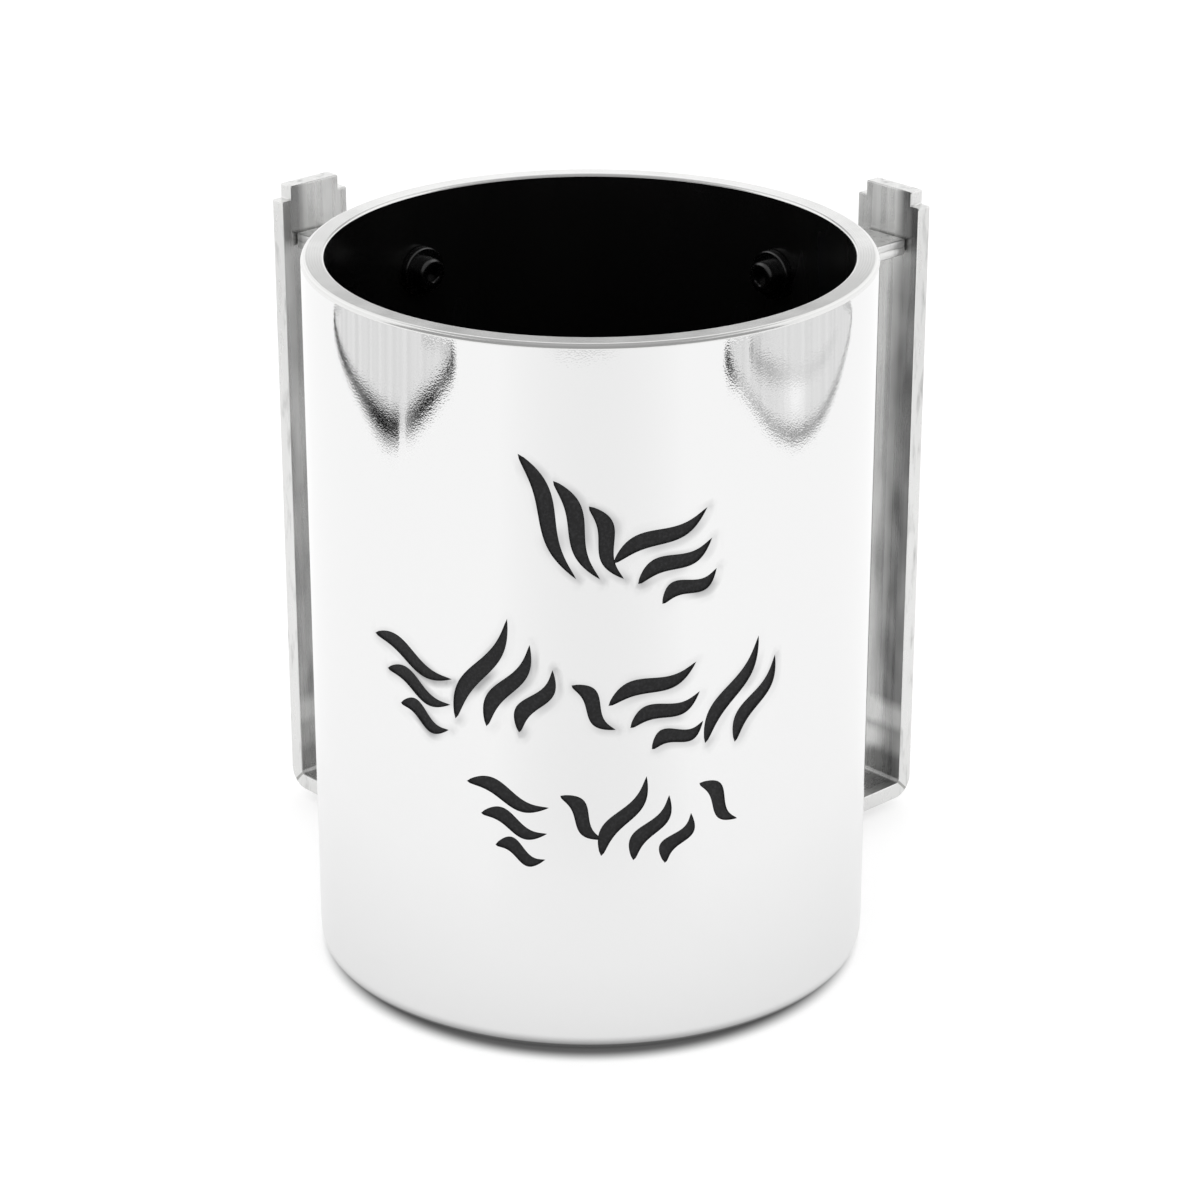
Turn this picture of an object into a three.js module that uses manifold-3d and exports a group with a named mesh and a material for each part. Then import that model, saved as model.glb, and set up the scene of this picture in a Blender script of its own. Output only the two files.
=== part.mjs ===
// Washing cup: a straight-sided vessel with two bar handles set a quarter turn apart at the back.
// Millimetres, +Z up. The origin is the middle of the cup's underside, and the marked side faces -Y.

import * as THREE from "three";
import { mergeVertices } from "three/addons/utils/BufferGeometryUtils.js";
import Module from "manifold-3d";

const wasm = await Module();
wasm.setup();

// Vessel
const cupDiameter = 100;
const cupHeight = 129.4;
const wallThickness = 4.1;
const floorThickness = 4;
const rimOuterRounding = 0.9;
const rimInnerRounding = 0.5;
const baseRounding = 1.1;
const floorCornerRounding = 3;

// Handles: a flat bar stands off the wall, its foot is folded in to the wall, and a plate holds its head
const handleAngleFromBack = THREE.MathUtils.degToRad(45);
const fingerGap = 25.6;
const barWidth = 15.3;
const barThickness = 3.2;
const barTopBelowRim = 4;
const footHeight = 2.2;
const foldOuterRadius = 4;
const foldInnerRadius = 0.8;
const tabHeight = 2.7;
const tabInset = 2;

// Plate between the wall and the bar's head
const plateWidth = 10.2;
const plateThickness = 3;
const plateTopBelowRim = 12.9;
const plateEndRounding = 1.1;

// Screw inside the cup, which holds the plate against the wall
const screwHeadDiameter = 5.8;
const screwHeadHeight = 2.1;
const screwHeadBevel = 0.6;
const socketAcrossFlats = 2.5;
const socketDepth = 1.3;
const threadShareOfPlate = 0.6;
const threadLengthInPlate = 8;
const threadTipBevel = 0.3;
const washerDiameter = 9;
const washerThickness = 1.1;
const washerBevel = 0.3;

// Clearances between pieces that touch
const fitGap = 0.3;
const threadGap = 0.15;

// Shallow strokes on the front: a band of the wall, and everything in it as shares of the band's height
const marksBelowRim = 18.4;
const marksAboveBase = 32.2;
const strokeDepth = 0.3;
const strokeWidthShare = 0.038;
const strokeSwayShare = 0.014;
const strokePitchShare = 0.068;
const strokeShortening = 0.2;
const strokeFullness = 0.8;

// Each group is a few strokes side by side: its middle in the band, how many, their slant and length
const strokeGroups = [
  { along: -0.005, level: 0.825, count: 3, slant: -66, length: 0.3 },
  { along: 0.205, level: 0.745, count: 3, slant: 28, length: 0.23 },
  { along: -0.375, level: 0.415, count: 3, slant: -14, length: 0.22 },
  { along: -0.155, level: 0.46, count: 3, slant: 64, length: 0.28 },
  { along: 0.03, level: 0.42, count: 1, slant: -48, length: 0.14 },
  { along: 0.185, level: 0.405, count: 3, slant: 24, length: 0.21 },
  { along: 0.37, level: 0.41, count: 2, slant: 60, length: 0.26 },
  { along: -0.145, level: 0.135, count: 3, slant: -12, length: 0.19 },
  { along: 0.005, level: 0.16, count: 1, slant: -48, length: 0.14 },
  { along: 0.155, level: 0.13, count: 3, slant: 62, length: 0.21 },
  { along: 0.31, level: 0.17, count: 1, slant: -48, length: 0.14 },
];

// Fineness of round shapes, and how near two vertices count as one
const cupSides = 96;
const screwSides = 24;
const arcSteps = 2;
const strokeSteps = 7;
const vertexMerge = 1e-4;

// Lengths that follow from the sizes above
const outerRadius = cupDiameter / 2;
const innerRadius = outerRadius - wallThickness;
const barInnerFace = outerRadius + fingerGap;
const barOuterFace = barInnerFace + barThickness;
const barTop = cupHeight - barTopBelowRim;
const plateTop = cupHeight - plateTopBelowRim;
const plateMiddle = plateTop - plateThickness / 2;
const screwHeadRadius = screwHeadDiameter / 2;
const threadRadius = (plateThickness * threadShareOfPlate) / 2;
const wallHoleRadius = threadRadius + fitGap;
const washerRadius = washerDiameter / 2;
const washerBack = Math.sqrt(innerRadius ** 2 - washerRadius ** 2) - fitGap;
const washerFront = washerBack - washerThickness;
const screwHeadBack = washerFront - fitGap;
const screwHeadFront = screwHeadBack - screwHeadHeight;
const threadTip = outerRadius + fitGap + threadLengthInPlate;
const marksHeight = cupHeight - marksBelowRim - marksAboveBase;

// Materials
const polishedAluminium = new THREE.MeshStandardMaterial({
  color: 0xdcdddf,
  metalness: 1,
  roughness: 0.08,
});
const satinAluminium = new THREE.MeshStandardMaterial({
  color: 0xc9cacc,
  metalness: 1,
  roughness: 0.28,
});
const blackSteel = new THREE.MeshStandardMaterial({
  color: 0x151515,
  metalness: 0.4,
  roughness: 0.35,
});

// Turns for outlines drawn in the handle's own upright plane, and in the plane that faces the viewer
const alongBar = new THREE.Matrix4().makeBasis(
  new THREE.Vector3(0, 1, 0),
  new THREE.Vector3(0, 0, 1),
  new THREE.Vector3(1, 0, 0),
);
const facingFront = new THREE.Matrix4().makeBasis(
  new THREE.Vector3(1, 0, 0),
  new THREE.Vector3(0, 0, 1),
  new THREE.Vector3(0, -1, 0),
);

function solidFrom(geometry) {
  const bare = geometry.clone();
  bare.deleteAttribute("normal");
  bare.deleteAttribute("uv");
  const merged = mergeVertices(bare, vertexMerge);
  return new wasm.Manifold(
    new wasm.Mesh({
      numProp: 3,
      vertProperties: merged.attributes.position.array,
      triVerts: merged.index.array,
    }),
  );
}

function geometryFrom(solid) {
  const made = solid.getMesh();
  const geometry = new THREE.BufferGeometry();
  geometry.setAttribute("position", new THREE.BufferAttribute(made.vertProperties, made.numProp));
  geometry.setIndex(new THREE.BufferAttribute(made.triVerts, 1));
  const faceted = geometry.toNonIndexed();
  faceted.computeVertexNormals();
  return faceted;
}

function namedMesh(name, geometry, material) {
  const mesh = new THREE.Mesh(geometry, material);
  mesh.name = name;
  return mesh;
}

// A plate of the given outline, as thick as asked for and centred on the outline's own plane
function plateFrom(outline, thickness, turn) {
  const geometry = new THREE.ExtrudeGeometry(outline, {
    depth: thickness,
    bevelEnabled: false,
    curveSegments: 2 * arcSteps,
  });
  geometry.translate(0, 0, -thickness / 2);
  return geometry.applyMatrix4(turn);
}

function uprightCylinder(radius, height, sides) {
  return new THREE.CylinderGeometry(radius, radius, height, sides).rotateX(Math.PI / 2);
}

// Vessel
function cupProfile() {
  const profile = new THREE.Path();
  const quarter = Math.PI / 2;
  profile.moveTo(0, 0);
  profile.lineTo(outerRadius - baseRounding, 0);
  profile.absarc(outerRadius - baseRounding, baseRounding, baseRounding, -quarter, 0);
  profile.absarc(
    outerRadius - rimOuterRounding,
    cupHeight - rimOuterRounding,
    rimOuterRounding,
    0,
    quarter,
  );
  profile.absarc(
    innerRadius + rimInnerRounding,
    cupHeight - rimInnerRounding,
    rimInnerRounding,
    quarter,
    2 * quarter,
  );
  profile.absarc(
    innerRadius - floorCornerRounding,
    floorThickness + floorCornerRounding,
    floorCornerRounding,
    0,
    -quarter,
    true,
  );
  profile.lineTo(0, floorThickness);
  return profile.getPoints(arcSteps);
}

// A stroke is a slim S with a point at each end, thickest before its middle
function strokeOutline(length) {
  const halfWidth = (marksHeight * strokeWidthShare) / 2;
  const sway = marksHeight * strokeSwayShare;
  const side = (step, sign) => {
    const t = step / strokeSteps;
    const breadth = halfWidth * Math.sin(Math.PI * t ** strokeFullness) ** strokeFullness;
    return new THREE.Vector2((t - 0.5) * length, sway * Math.sin(2 * Math.PI * t) + sign * breadth);
  };
  const points = [];
  for (let step = 0; step < strokeSteps; step += 1) points.push(side(step, -1));
  for (let step = strokeSteps; step > 0; step -= 1) points.push(side(step, 1));
  return new THREE.Shape(points);
}

// One stroke's cutter, wrapped to its place round the wall
function strokeCutter(along, level, slant, length) {
  const reach = wallThickness;
  const cutter = new THREE.ExtrudeGeometry(strokeOutline(length), {
    depth: reach,
    bevelEnabled: false,
  });
  cutter.rotateZ(slant);
  cutter.applyMatrix4(facingFront);
  cutter.translate(0, -outerRadius + reach / 2, level);
  cutter.rotateZ(along / outerRadius);
  return solidFrom(cutter);
}

function strokeCutters() {
  const pitch = marksHeight * strokePitchShare;
  const cutters = [];
  for (const group of strokeGroups) {
    const slant = THREE.MathUtils.degToRad(group.slant);
    for (let index = 0; index < group.count; index += 1) {
      const offset = (index - (group.count - 1) / 2) * pitch;
      const shortened = group.length * (1 - strokeShortening * index);
      cutters.push(
        strokeCutter(
          group.along * marksHeight + offset * Math.sin(Math.abs(slant)),
          marksAboveBase + group.level * marksHeight - offset * Math.cos(slant),
          slant,
          shortened * marksHeight,
        ),
      );
    }
  }
  return cutters;
}

function cupBody() {
  let body = solidFrom(new THREE.LatheGeometry(cupProfile(), cupSides).rotateX(Math.PI / 2));
  const core = solidFrom(
    uprightCylinder(outerRadius - strokeDepth, 2 * cupHeight, cupSides).rotateZ(Math.PI / cupSides),
  );
  for (const cutter of strokeCutters()) body = body.subtract(cutter.subtract(core));
  for (const angle of [-handleAngleFromBack, handleAngleFromBack]) {
    const hole = new THREE.CylinderGeometry(
      wallHoleRadius,
      wallHoleRadius,
      2 * wallThickness,
      screwSides,
    );
    hole.translate(0, outerRadius - wallThickness / 2, plateMiddle);
    body = body.subtract(solidFrom(hole.rotateZ(angle)));
  }
  return namedMesh("cup_body", geometryFrom(body), polishedAluminium);
}

// What the wall takes away from a piece that is butted against it
function wallCutter() {
  return solidFrom(uprightCylinder(outerRadius + fitGap, 3 * cupHeight, cupSides));
}

// Handle bar: upright strip, folded foot and a narrower tab at its head
function handleBar() {
  const quarter = Math.PI / 2;
  const outline = new THREE.Shape();
  const footTop = footHeight + barThickness;
  const foldInner = Math.min(foldInnerRadius, fingerGap / 2);
  outline.moveTo(innerRadius, footHeight);
  outline.lineTo(barOuterFace - foldOuterRadius, footHeight);
  outline.absarc(
    barOuterFace - foldOuterRadius,
    footHeight + foldOuterRadius,
    foldOuterRadius,
    -quarter,
    0,
  );
  outline.lineTo(barOuterFace, barTop);
  outline.lineTo(barInnerFace, barTop);
  outline.absarc(barInnerFace - foldInner, footTop + foldInner, foldInner, 0, -quarter, true);
  outline.lineTo(innerRadius, footTop);
  let bar = solidFrom(plateFrom(outline, barWidth, alongBar));
  for (const side of [-1, 1]) {
    const notch = new THREE.BoxGeometry(2 * tabInset, 3 * barThickness, 2 * tabHeight);
    notch.translate((side * barWidth) / 2, barInnerFace + barThickness / 2, barTop);
    bar = bar.subtract(solidFrom(notch));
  }
  return geometryFrom(bar.subtract(wallCutter()));
}

// Plate from the wall to the bar, with rounded corners where it meets the bar
function headPlate() {
  const quarter = Math.PI / 2;
  const end = barInnerFace - fitGap;
  const low = plateTop - plateThickness;
  const rounding = Math.min(plateEndRounding, plateThickness / 3);
  const outline = new THREE.Shape();
  outline.moveTo(innerRadius, low);
  outline.lineTo(end - rounding, low);
  outline.absarc(end - rounding, low + rounding, rounding, -quarter, 0);
  outline.absarc(end - rounding, plateTop - rounding, rounding, 0, quarter);
  outline.lineTo(innerRadius, plateTop);
  const plate = solidFrom(plateFrom(outline, plateWidth, alongBar)).subtract(wallCutter());
  const thread = new THREE.CylinderGeometry(
    threadRadius + threadGap,
    threadRadius + threadGap,
    2 * (threadLengthInPlate + fitGap),
    screwSides,
  );
  thread.translate(0, outerRadius + fitGap, plateMiddle);
  return geometryFrom(plate.subtract(solidFrom(thread)));
}

// Turned rings and screws, drawn from their front, inside the cup, towards the wall
function washer() {
  const points = [
    new THREE.Vector2(wallHoleRadius, washerFront),
    new THREE.Vector2(washerRadius - washerBevel, washerFront),
    new THREE.Vector2(washerRadius, washerFront + washerBevel),
    new THREE.Vector2(washerRadius, washerBack),
    new THREE.Vector2(wallHoleRadius, washerBack),
    new THREE.Vector2(wallHoleRadius, washerFront),
  ];
  return new THREE.LatheGeometry(points, screwSides).translate(0, 0, plateMiddle);
}

function screw() {
  const points = [
    new THREE.Vector2(0, screwHeadFront),
    new THREE.Vector2(screwHeadRadius - screwHeadBevel, screwHeadFront),
    new THREE.Vector2(screwHeadRadius, screwHeadFront + screwHeadBevel),
    new THREE.Vector2(screwHeadRadius, screwHeadBack),
    new THREE.Vector2(threadRadius, screwHeadBack),
    new THREE.Vector2(threadRadius, threadTip - threadTipBevel),
    new THREE.Vector2(threadRadius - threadTipBevel, threadTip),
    new THREE.Vector2(0, threadTip),
  ];
  const turned = solidFrom(new THREE.LatheGeometry(points, screwSides));
  const socketRadius = socketAcrossFlats / Math.sqrt(3);
  const socket = new THREE.CylinderGeometry(socketRadius, socketRadius, 2 * socketDepth, 6);
  socket.translate(0, screwHeadFront, 0);
  return geometryFrom(turned.subtract(solidFrom(socket))).translate(0, 0, plateMiddle);
}

// A handle is drawn straight behind the cup and then turned to its side
function handle(side, turn) {
  const group = new THREE.Group();
  group.rotation.z = turn;
  group.add(
    namedMesh(side + "_handle_bar", handleBar(), satinAluminium),
    namedMesh(side + "_handle_plate", headPlate(), satinAluminium),
    namedMesh(side + "_washer", washer(), blackSteel),
    namedMesh(side + "_screw", screw(), blackSteel),
  );
  return group;
}

const washingCup = new THREE.Group();
washingCup.add(
  cupBody(),
  handle("left", handleAngleFromBack),
  handle("right", -handleAngleFromBack),
);

export default washingCup;
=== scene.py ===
"""Dresses the washing cup: a polished vessel, black inside, with two strip handles behind it."""

import math

import bpy
from mathutils import Matrix, Vector
from mathutils.geometry import delaunay_2d_cdt


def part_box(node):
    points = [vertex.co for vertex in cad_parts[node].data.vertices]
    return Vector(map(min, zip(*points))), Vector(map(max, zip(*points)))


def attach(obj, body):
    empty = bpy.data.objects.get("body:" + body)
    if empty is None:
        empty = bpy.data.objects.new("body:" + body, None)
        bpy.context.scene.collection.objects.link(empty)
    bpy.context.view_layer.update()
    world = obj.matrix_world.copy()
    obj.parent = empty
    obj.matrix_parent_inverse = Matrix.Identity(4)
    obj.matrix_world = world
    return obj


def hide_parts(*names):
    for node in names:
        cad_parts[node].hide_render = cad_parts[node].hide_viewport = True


bl_info = {
    "name": "Washing cup",
    "version": (1, 0, 0),
    "blender": (4, 5, 0),
    "location": "View3D > Sidebar > Washing cup",
    "description": "Builds a polished washing cup with strip handles on its packed frame",
    "category": "Add Mesh",
}

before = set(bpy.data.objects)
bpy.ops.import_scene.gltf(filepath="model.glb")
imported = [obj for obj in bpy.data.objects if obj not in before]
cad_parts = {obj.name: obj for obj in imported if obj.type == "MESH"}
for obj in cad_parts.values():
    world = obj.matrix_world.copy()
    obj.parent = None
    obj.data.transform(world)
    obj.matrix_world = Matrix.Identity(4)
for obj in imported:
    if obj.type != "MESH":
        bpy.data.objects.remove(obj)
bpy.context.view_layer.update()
MM = 0.001

CUP_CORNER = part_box("cup_body")[1]
CUP_RADIUS = CUP_CORNER.x
CUP_HEIGHT = CUP_CORNER.z
# Which way each handle is turned from the back
SIDES = {"left": 1, "right": -1}


# Sizes and colours that a user would change
class CupSizes(bpy.types.PropertyGroup):
    """Sizes of the turned vessel."""

    wall: bpy.props.FloatProperty(
        name="Wall", description="Thickness of the wall", default=4.1 * MM, unit="LENGTH"
    )
    floor: bpy.props.FloatProperty(
        name="Floor", description="Thickness of the floor", default=4 * MM, unit="LENGTH"
    )
    rim_outer: bpy.props.FloatProperty(
        name="Outer rim rounding",
        description="Radius of the rim's outer edge",
        default=0.9 * MM,
        unit="LENGTH",
    )
    rim_inner: bpy.props.FloatProperty(
        name="Inner rim rounding",
        description="Radius of the rim's inner edge",
        default=0.5 * MM,
        unit="LENGTH",
    )
    base: bpy.props.FloatProperty(
        name="Base rounding",
        description="Radius of the edge that the cup stands within",
        default=1.1 * MM,
        unit="LENGTH",
    )
    floor_corner: bpy.props.FloatProperty(
        name="Floor corner",
        description="Radius between the floor and the wall inside",
        default=3 * MM,
        unit="LENGTH",
    )
    screw_hole: bpy.props.FloatProperty(
        name="Screw hole",
        description="Radius of the hole for a handle's screw",
        default=1.2 * MM,
        unit="LENGTH",
    )


class StrokeSizes(bpy.types.PropertyGroup):
    """Sizes of the shallow strokes on the front, and of the band that they fill."""

    band_low: bpy.props.FloatProperty(
        name="Band's foot",
        description="Height of the band's lower edge above the base",
        default=32.2 * MM,
        unit="LENGTH",
    )
    band_high: bpy.props.FloatProperty(
        name="Band's head",
        description="Height of the band's upper edge above the base",
        default=CUP_HEIGHT - 18.4 * MM,
        unit="LENGTH",
    )
    depth: bpy.props.FloatProperty(
        name="Depth", description="Depth of a stroke", default=0.3 * MM, unit="LENGTH"
    )
    edge: bpy.props.FloatProperty(
        name="Sloped edge",
        description="Width of the slope down to a stroke's floor",
        default=0.16 * MM,
        unit="LENGTH",
    )
    # Reach of the painted soft shadow beside a stroke
    halo: bpy.props.FloatProperty(
        name="Tarnish",
        description="Reach of the grey tarnish beside a stroke",
        default=1.3 * MM,
        unit="LENGTH",
    )


class HandleSizes(bpy.types.PropertyGroup):
    """Sizes of the strip handles and their plates."""

    turn: bpy.props.FloatProperty(
        name="Angle from the back",
        description="How far round from the back each handle stands",
        default=math.radians(45),
        unit="ROTATION",
    )
    thickness: bpy.props.FloatProperty(
        name="Strip", description="Thickness of the strip", default=3.2 * MM, unit="LENGTH"
    )
    fold: bpy.props.FloatProperty(
        name="Fold",
        description="Outer radius of the fold at the foot",
        default=4 * MM,
        unit="LENGTH",
    )
    tab_height: bpy.props.FloatProperty(
        name="Tab height",
        description="Height of the tab at the head",
        default=2.7 * MM,
        unit="LENGTH",
    )
    tab_inset: bpy.props.FloatProperty(
        name="Tab inset",
        description="How much the tab is narrower on each side",
        default=2 * MM,
        unit="LENGTH",
    )
    edge: bpy.props.FloatProperty(
        name="Broken edge",
        description="Width of the bevel along the strip's edges",
        default=0.3 * MM,
        unit="LENGTH",
    )
    plate_end: bpy.props.FloatProperty(
        name="Plate's end",
        description="Radius of the plate's end beside the strip",
        default=1.1 * MM,
        unit="LENGTH",
    )
    seam: bpy.props.FloatProperty(
        name="Seam",
        description="Width of the dressed seam across the fold",
        default=0.5 * MM,
        unit="LENGTH",
    )
    fit_gap: bpy.props.FloatProperty(
        name="Fit gap",
        description="Clearance in the packed model, closed up here to a hairline",
        default=0.3 * MM,
        unit="LENGTH",
    )
    hairline: bpy.props.FloatProperty(
        name="Hairline",
        description="What is left of that clearance",
        default=0.03 * MM,
        unit="LENGTH",
    )


class FinishColours(bpy.types.PropertyGroup):
    """Colours of the finishes, as sRGB hex."""

    polished: bpy.props.StringProperty(
        name="Polished aluminium", description="Outside of the vessel", default="#EEEEEE"
    )
    turned: bpy.props.StringProperty(
        name="Turned aluminium", description="Flat of the rim and the underside", default="#E0E0DF"
    )
    enamel: bpy.props.StringProperty(
        name="Black enamel", description="Inside of the vessel", default="#0A0A0A"
    )
    ink: bpy.props.StringProperty(
        name="Charcoal fill", description="Floor of the strokes", default="#131314"
    )
    # Colour of the painted shadow beside the strokes
    tarnish: bpy.props.StringProperty(
        name="Tarnish", description="Grey beside the strokes", default="#8E8E8F"
    )
    strip: bpy.props.StringProperty(
        name="Satin aluminium", description="Broad faces of the handles", default="#D6D6D5"
    )
    cut_edge: bpy.props.StringProperty(
        name="Sawn aluminium", description="Edges of the handles", default="#E3E3E2"
    )
    seam: bpy.props.StringProperty(
        name="Dressed seam", description="Seam across the fold", default="#B4B4B2"
    )
    # Colour of the painted dark reflections on the strips
    dark_reflection: bpy.props.StringProperty(
        name="Smut", description="Dark film that polishing leaves on the strips", default="#565656"
    )
    screw: bpy.props.StringProperty(
        name="Black oxide steel", description="Screws and washers", default="#525252"
    )


class StageSizes(bpy.types.PropertyGroup):
    """The floor, the light and the camera."""

    floor_side: bpy.props.FloatProperty(
        name="Floor", description="Side of the pale floor", default=6.0, unit="LENGTH"
    )
    floor_colour: bpy.props.StringProperty(
        name="Floor colour", description="Pale floor", default="#C0C0C0"
    )
    light: bpy.props.FloatProperty(
        name="Light", description="Strength of the white light all round", default=1.16, min=0
    )
    camera_place: bpy.props.FloatVectorProperty(
        name="Camera",
        description="Where the camera stands",
        default=(23.49 * MM, -625.58 * MM, 328.33 * MM),
        unit="LENGTH",
    )
    camera_turn: bpy.props.FloatVectorProperty(
        name="Camera turn",
        description="Pitch from straight down, roll and turn from straight ahead",
        default=(math.radians(67.092), 0, math.radians(1.996)),
        unit="ROTATION",
    )
    lens: bpy.props.FloatProperty(
        name="Lens", description="Focal length on a 36 mm sensor, in mm", default=113.6
    )


def settings(name):
    """One group of the sizes or colours, by its short name."""
    return getattr(bpy.context.scene, "washing_cup_" + name)


# Small tools for materials
def linear(colour, share=1.0):
    """An sRGB hex colour as linear red, green, blue and alpha, dimmed to a share of itself."""
    levels = [int(colour[i : i + 2], 16) / 255 for i in (1, 3, 5)]
    light = [v / 12.92 if v <= 0.04045 else ((v + 0.055) / 1.055) ** 2.4 for v in levels]
    return [v * share for v in light] + [1]


def add_node(tree, kind, inputs=None, **values):
    """Adds one node. Inputs are plain values, or nodes whose first output is linked in."""
    node = tree.nodes.new(kind)
    for name, value in values.items():
        setattr(node, name, value)
    for key, value in (inputs or {}).items():
        named = [socket for socket in node.inputs if socket.enabled and socket.name == key]
        socket = named[0] if named else node.inputs[key]
        if isinstance(value, bpy.types.Node):
            shown = [output for output in value.outputs if output.enabled]
            tree.links.new(shown[0], socket)
        elif isinstance(value, bpy.types.NodeSocket):
            tree.links.new(value, socket)
        else:
            socket.default_value = value
    return node


def new_material(name):
    """A material with no nodes in it yet."""
    material = bpy.data.materials.new(name)
    material.use_nodes = True
    material.node_tree.nodes.clear()
    return material


def grain(tree, sizes, detail=2.0):
    """A cloudy pattern whose grain has the given sizes along X, Y and Z."""
    place = add_node(tree, "ShaderNodeTexCoord").outputs["Object"]
    scale = [1 / size for size in sizes]
    scaled = add_node(tree, "ShaderNodeMapping", {"Vector": place, "Scale": scale})
    return add_node(tree, "ShaderNodeTexNoise", {"Vector": scaled, "Scale": 1, "Detail": detail})


def reach(tree, middle=(0, 0, 0)):
    """The distance from an upright line, which is the cup's axis unless its middle is given."""
    place = add_node(tree, "ShaderNodeTexCoord").outputs["Object"]
    moved = add_node(
        tree, "ShaderNodeVectorMath", {0: place, 1: middle}, operation="SUBTRACT"
    )
    flat = add_node(
        tree, "ShaderNodeVectorMath", {0: moved, 1: (1, 1, 0)}, operation="MULTIPLY"
    )
    length = add_node(tree, "ShaderNodeVectorMath", {0: flat}, operation="LENGTH")
    return length.outputs["Value"]


# Materials
def polished_aluminium():
    """Aluminium buffed to a mirror: clear reflections, a little broken up by the buffing.

    Thin grey painted shadow lies in patches beside the strokes, shifted a little to one side.
    """
    material = new_material("polished_aluminium")
    tree = material.node_tree
    colours = settings("colours")
    # Buffing grain is under 0.05 mm, and is drawn coarser so that it shows
    buffing = grain(tree, (0.28 * MM, 0.28 * MM, 0.28 * MM), detail=0)
    waves = grain(tree, (9 * MM, 9 * MM, 60 * MM))
    # Painted shadow beside the strokes, broken into patches
    cloud = grain(tree, (7 * MM, 7 * MM, 5 * MM), detail=0)
    patches = add_node(tree, "ShaderNodeMapRange", {0: cloud, 1: 0.35, 2: 0.65, 3: 0.1, 4: 1})
    beside = add_node(tree, "ShaderNodeAttribute", attribute_name="tarnish").outputs["Fac"]
    tarnish = add_node(tree, "ShaderNodeMath", {0: beside, 1: patches}, operation="MULTIPLY")
    colour = add_node(
        tree,
        "ShaderNodeMix",
        {"Factor": tarnish, "A": linear(colours.polished), "B": linear(colours.tarnish)},
        data_type="RGBA",
    )
    shader = add_node(
        tree,
        "ShaderNodeBsdfPrincipled",
        {
            "Base Color": colour,
            "Metallic": 1.0,
            "Roughness": add_node(
                tree, "ShaderNodeMapRange", {0: waves, 1: 0.3, 2: 0.7, 3: 0.022, 4: 0.04}
            ),
            "Normal": add_node(
                tree, "ShaderNodeBump", {"Height": buffing, "Distance": 0.0022 * MM}
            ),
        },
    )
    add_node(tree, "ShaderNodeOutputMaterial", {"Surface": shader})
    return material


def turned_aluminium():
    """Aluminium faced on a lathe: fine rings round the axis, which soften what it mirrors."""
    material = new_material("turned_aluminium")
    tree = material.node_tree
    colours = settings("colours")
    # Tool marks are about 0.1 mm apart, and are drawn coarser so that they show
    pitch = 0.45 * MM
    turns = add_node(
        tree, "ShaderNodeMath", {0: reach(tree), 1: 2 * math.pi / pitch}, operation="MULTIPLY"
    )
    rings = add_node(tree, "ShaderNodeMath", {0: turns}, operation="SINE")
    scatter = grain(tree, (7 * MM, 7 * MM, 7 * MM))
    uneven = add_node(tree, "ShaderNodeMath", {0: rings, 1: scatter}, operation="MULTIPLY")
    shade = add_node(tree, "ShaderNodeMapRange", {0: uneven, 1: -0.6, 2: 0.6, 3: 0, 4: 1})
    colour = add_node(
        tree,
        "ShaderNodeMix",
        {"Factor": shade, "A": linear(colours.turned, 0.96), "B": linear(colours.turned, 1.04)},
        data_type="RGBA",
    )
    shader = add_node(
        tree,
        "ShaderNodeBsdfPrincipled",
        {
            "Base Color": colour,
            "Metallic": 1.0,
            "Roughness": add_node(
                tree, "ShaderNodeMapRange", {0: scatter, 1: 0.3, 2: 0.7, 3: 0.14, 4: 0.24}
            ),
            "Normal": add_node(
                tree, "ShaderNodeBump", {"Height": rings, "Distance": 0.0006 * MM}
            ),
        },
    )
    add_node(tree, "ShaderNodeOutputMaterial", {"Surface": shader})
    return material


def black_enamel():
    """Stoved black enamel: deep black, with a smooth gloss that shows only bright lights."""
    material = new_material("black_enamel")
    tree = material.node_tree
    orange_peel = grain(tree, (2.5 * MM, 2.5 * MM, 2.5 * MM), detail=1)
    clouds = grain(tree, (12 * MM, 12 * MM, 30 * MM))
    shader = add_node(
        tree,
        "ShaderNodeBsdfPrincipled",
        {
            "Base Color": linear(settings("colours").enamel),
            "Roughness": add_node(
                tree, "ShaderNodeMapRange", {0: clouds, 1: 0.3, 2: 0.7, 3: 0.18, 4: 0.3}
            ),
            "IOR": 1.5,
            "Normal": add_node(
                tree, "ShaderNodeBump", {"Height": orange_peel, "Distance": 0.006 * MM}
            ),
        },
    )
    add_node(tree, "ShaderNodeOutputMaterial", {"Surface": shader})
    return material


def charcoal_fill():
    """Charcoal paint baked into the strokes: dull, with a faint grain."""
    material = new_material("charcoal_fill")
    tree = material.node_tree
    colours = settings("colours")
    # The paint's grain is about 0.1 mm, and is drawn coarser so that it shows
    speckle = grain(tree, (0.5 * MM, 0.5 * MM, 0.5 * MM), detail=3)
    wear = add_node(tree, "ShaderNodeMapRange", {0: speckle, 1: 0.45, 2: 0.75, 3: 0, 4: 1})
    colour = add_node(
        tree,
        "ShaderNodeMix",
        {"Factor": wear, "A": linear(colours.ink), "B": linear(colours.ink, 3.0)},
        data_type="RGBA",
    )
    shader = add_node(
        tree,
        "ShaderNodeBsdfPrincipled",
        {
            "Base Color": colour,
            "Roughness": 0.6,
            "IOR": 1.5,
            "Specular IOR Level": 0.3,
            "Normal": add_node(
                tree, "ShaderNodeBump", {"Height": speckle, "Distance": 0.02 * MM}
            ),
        },
    )
    add_node(tree, "ShaderNodeOutputMaterial", {"Surface": shader})
    return material


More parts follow.
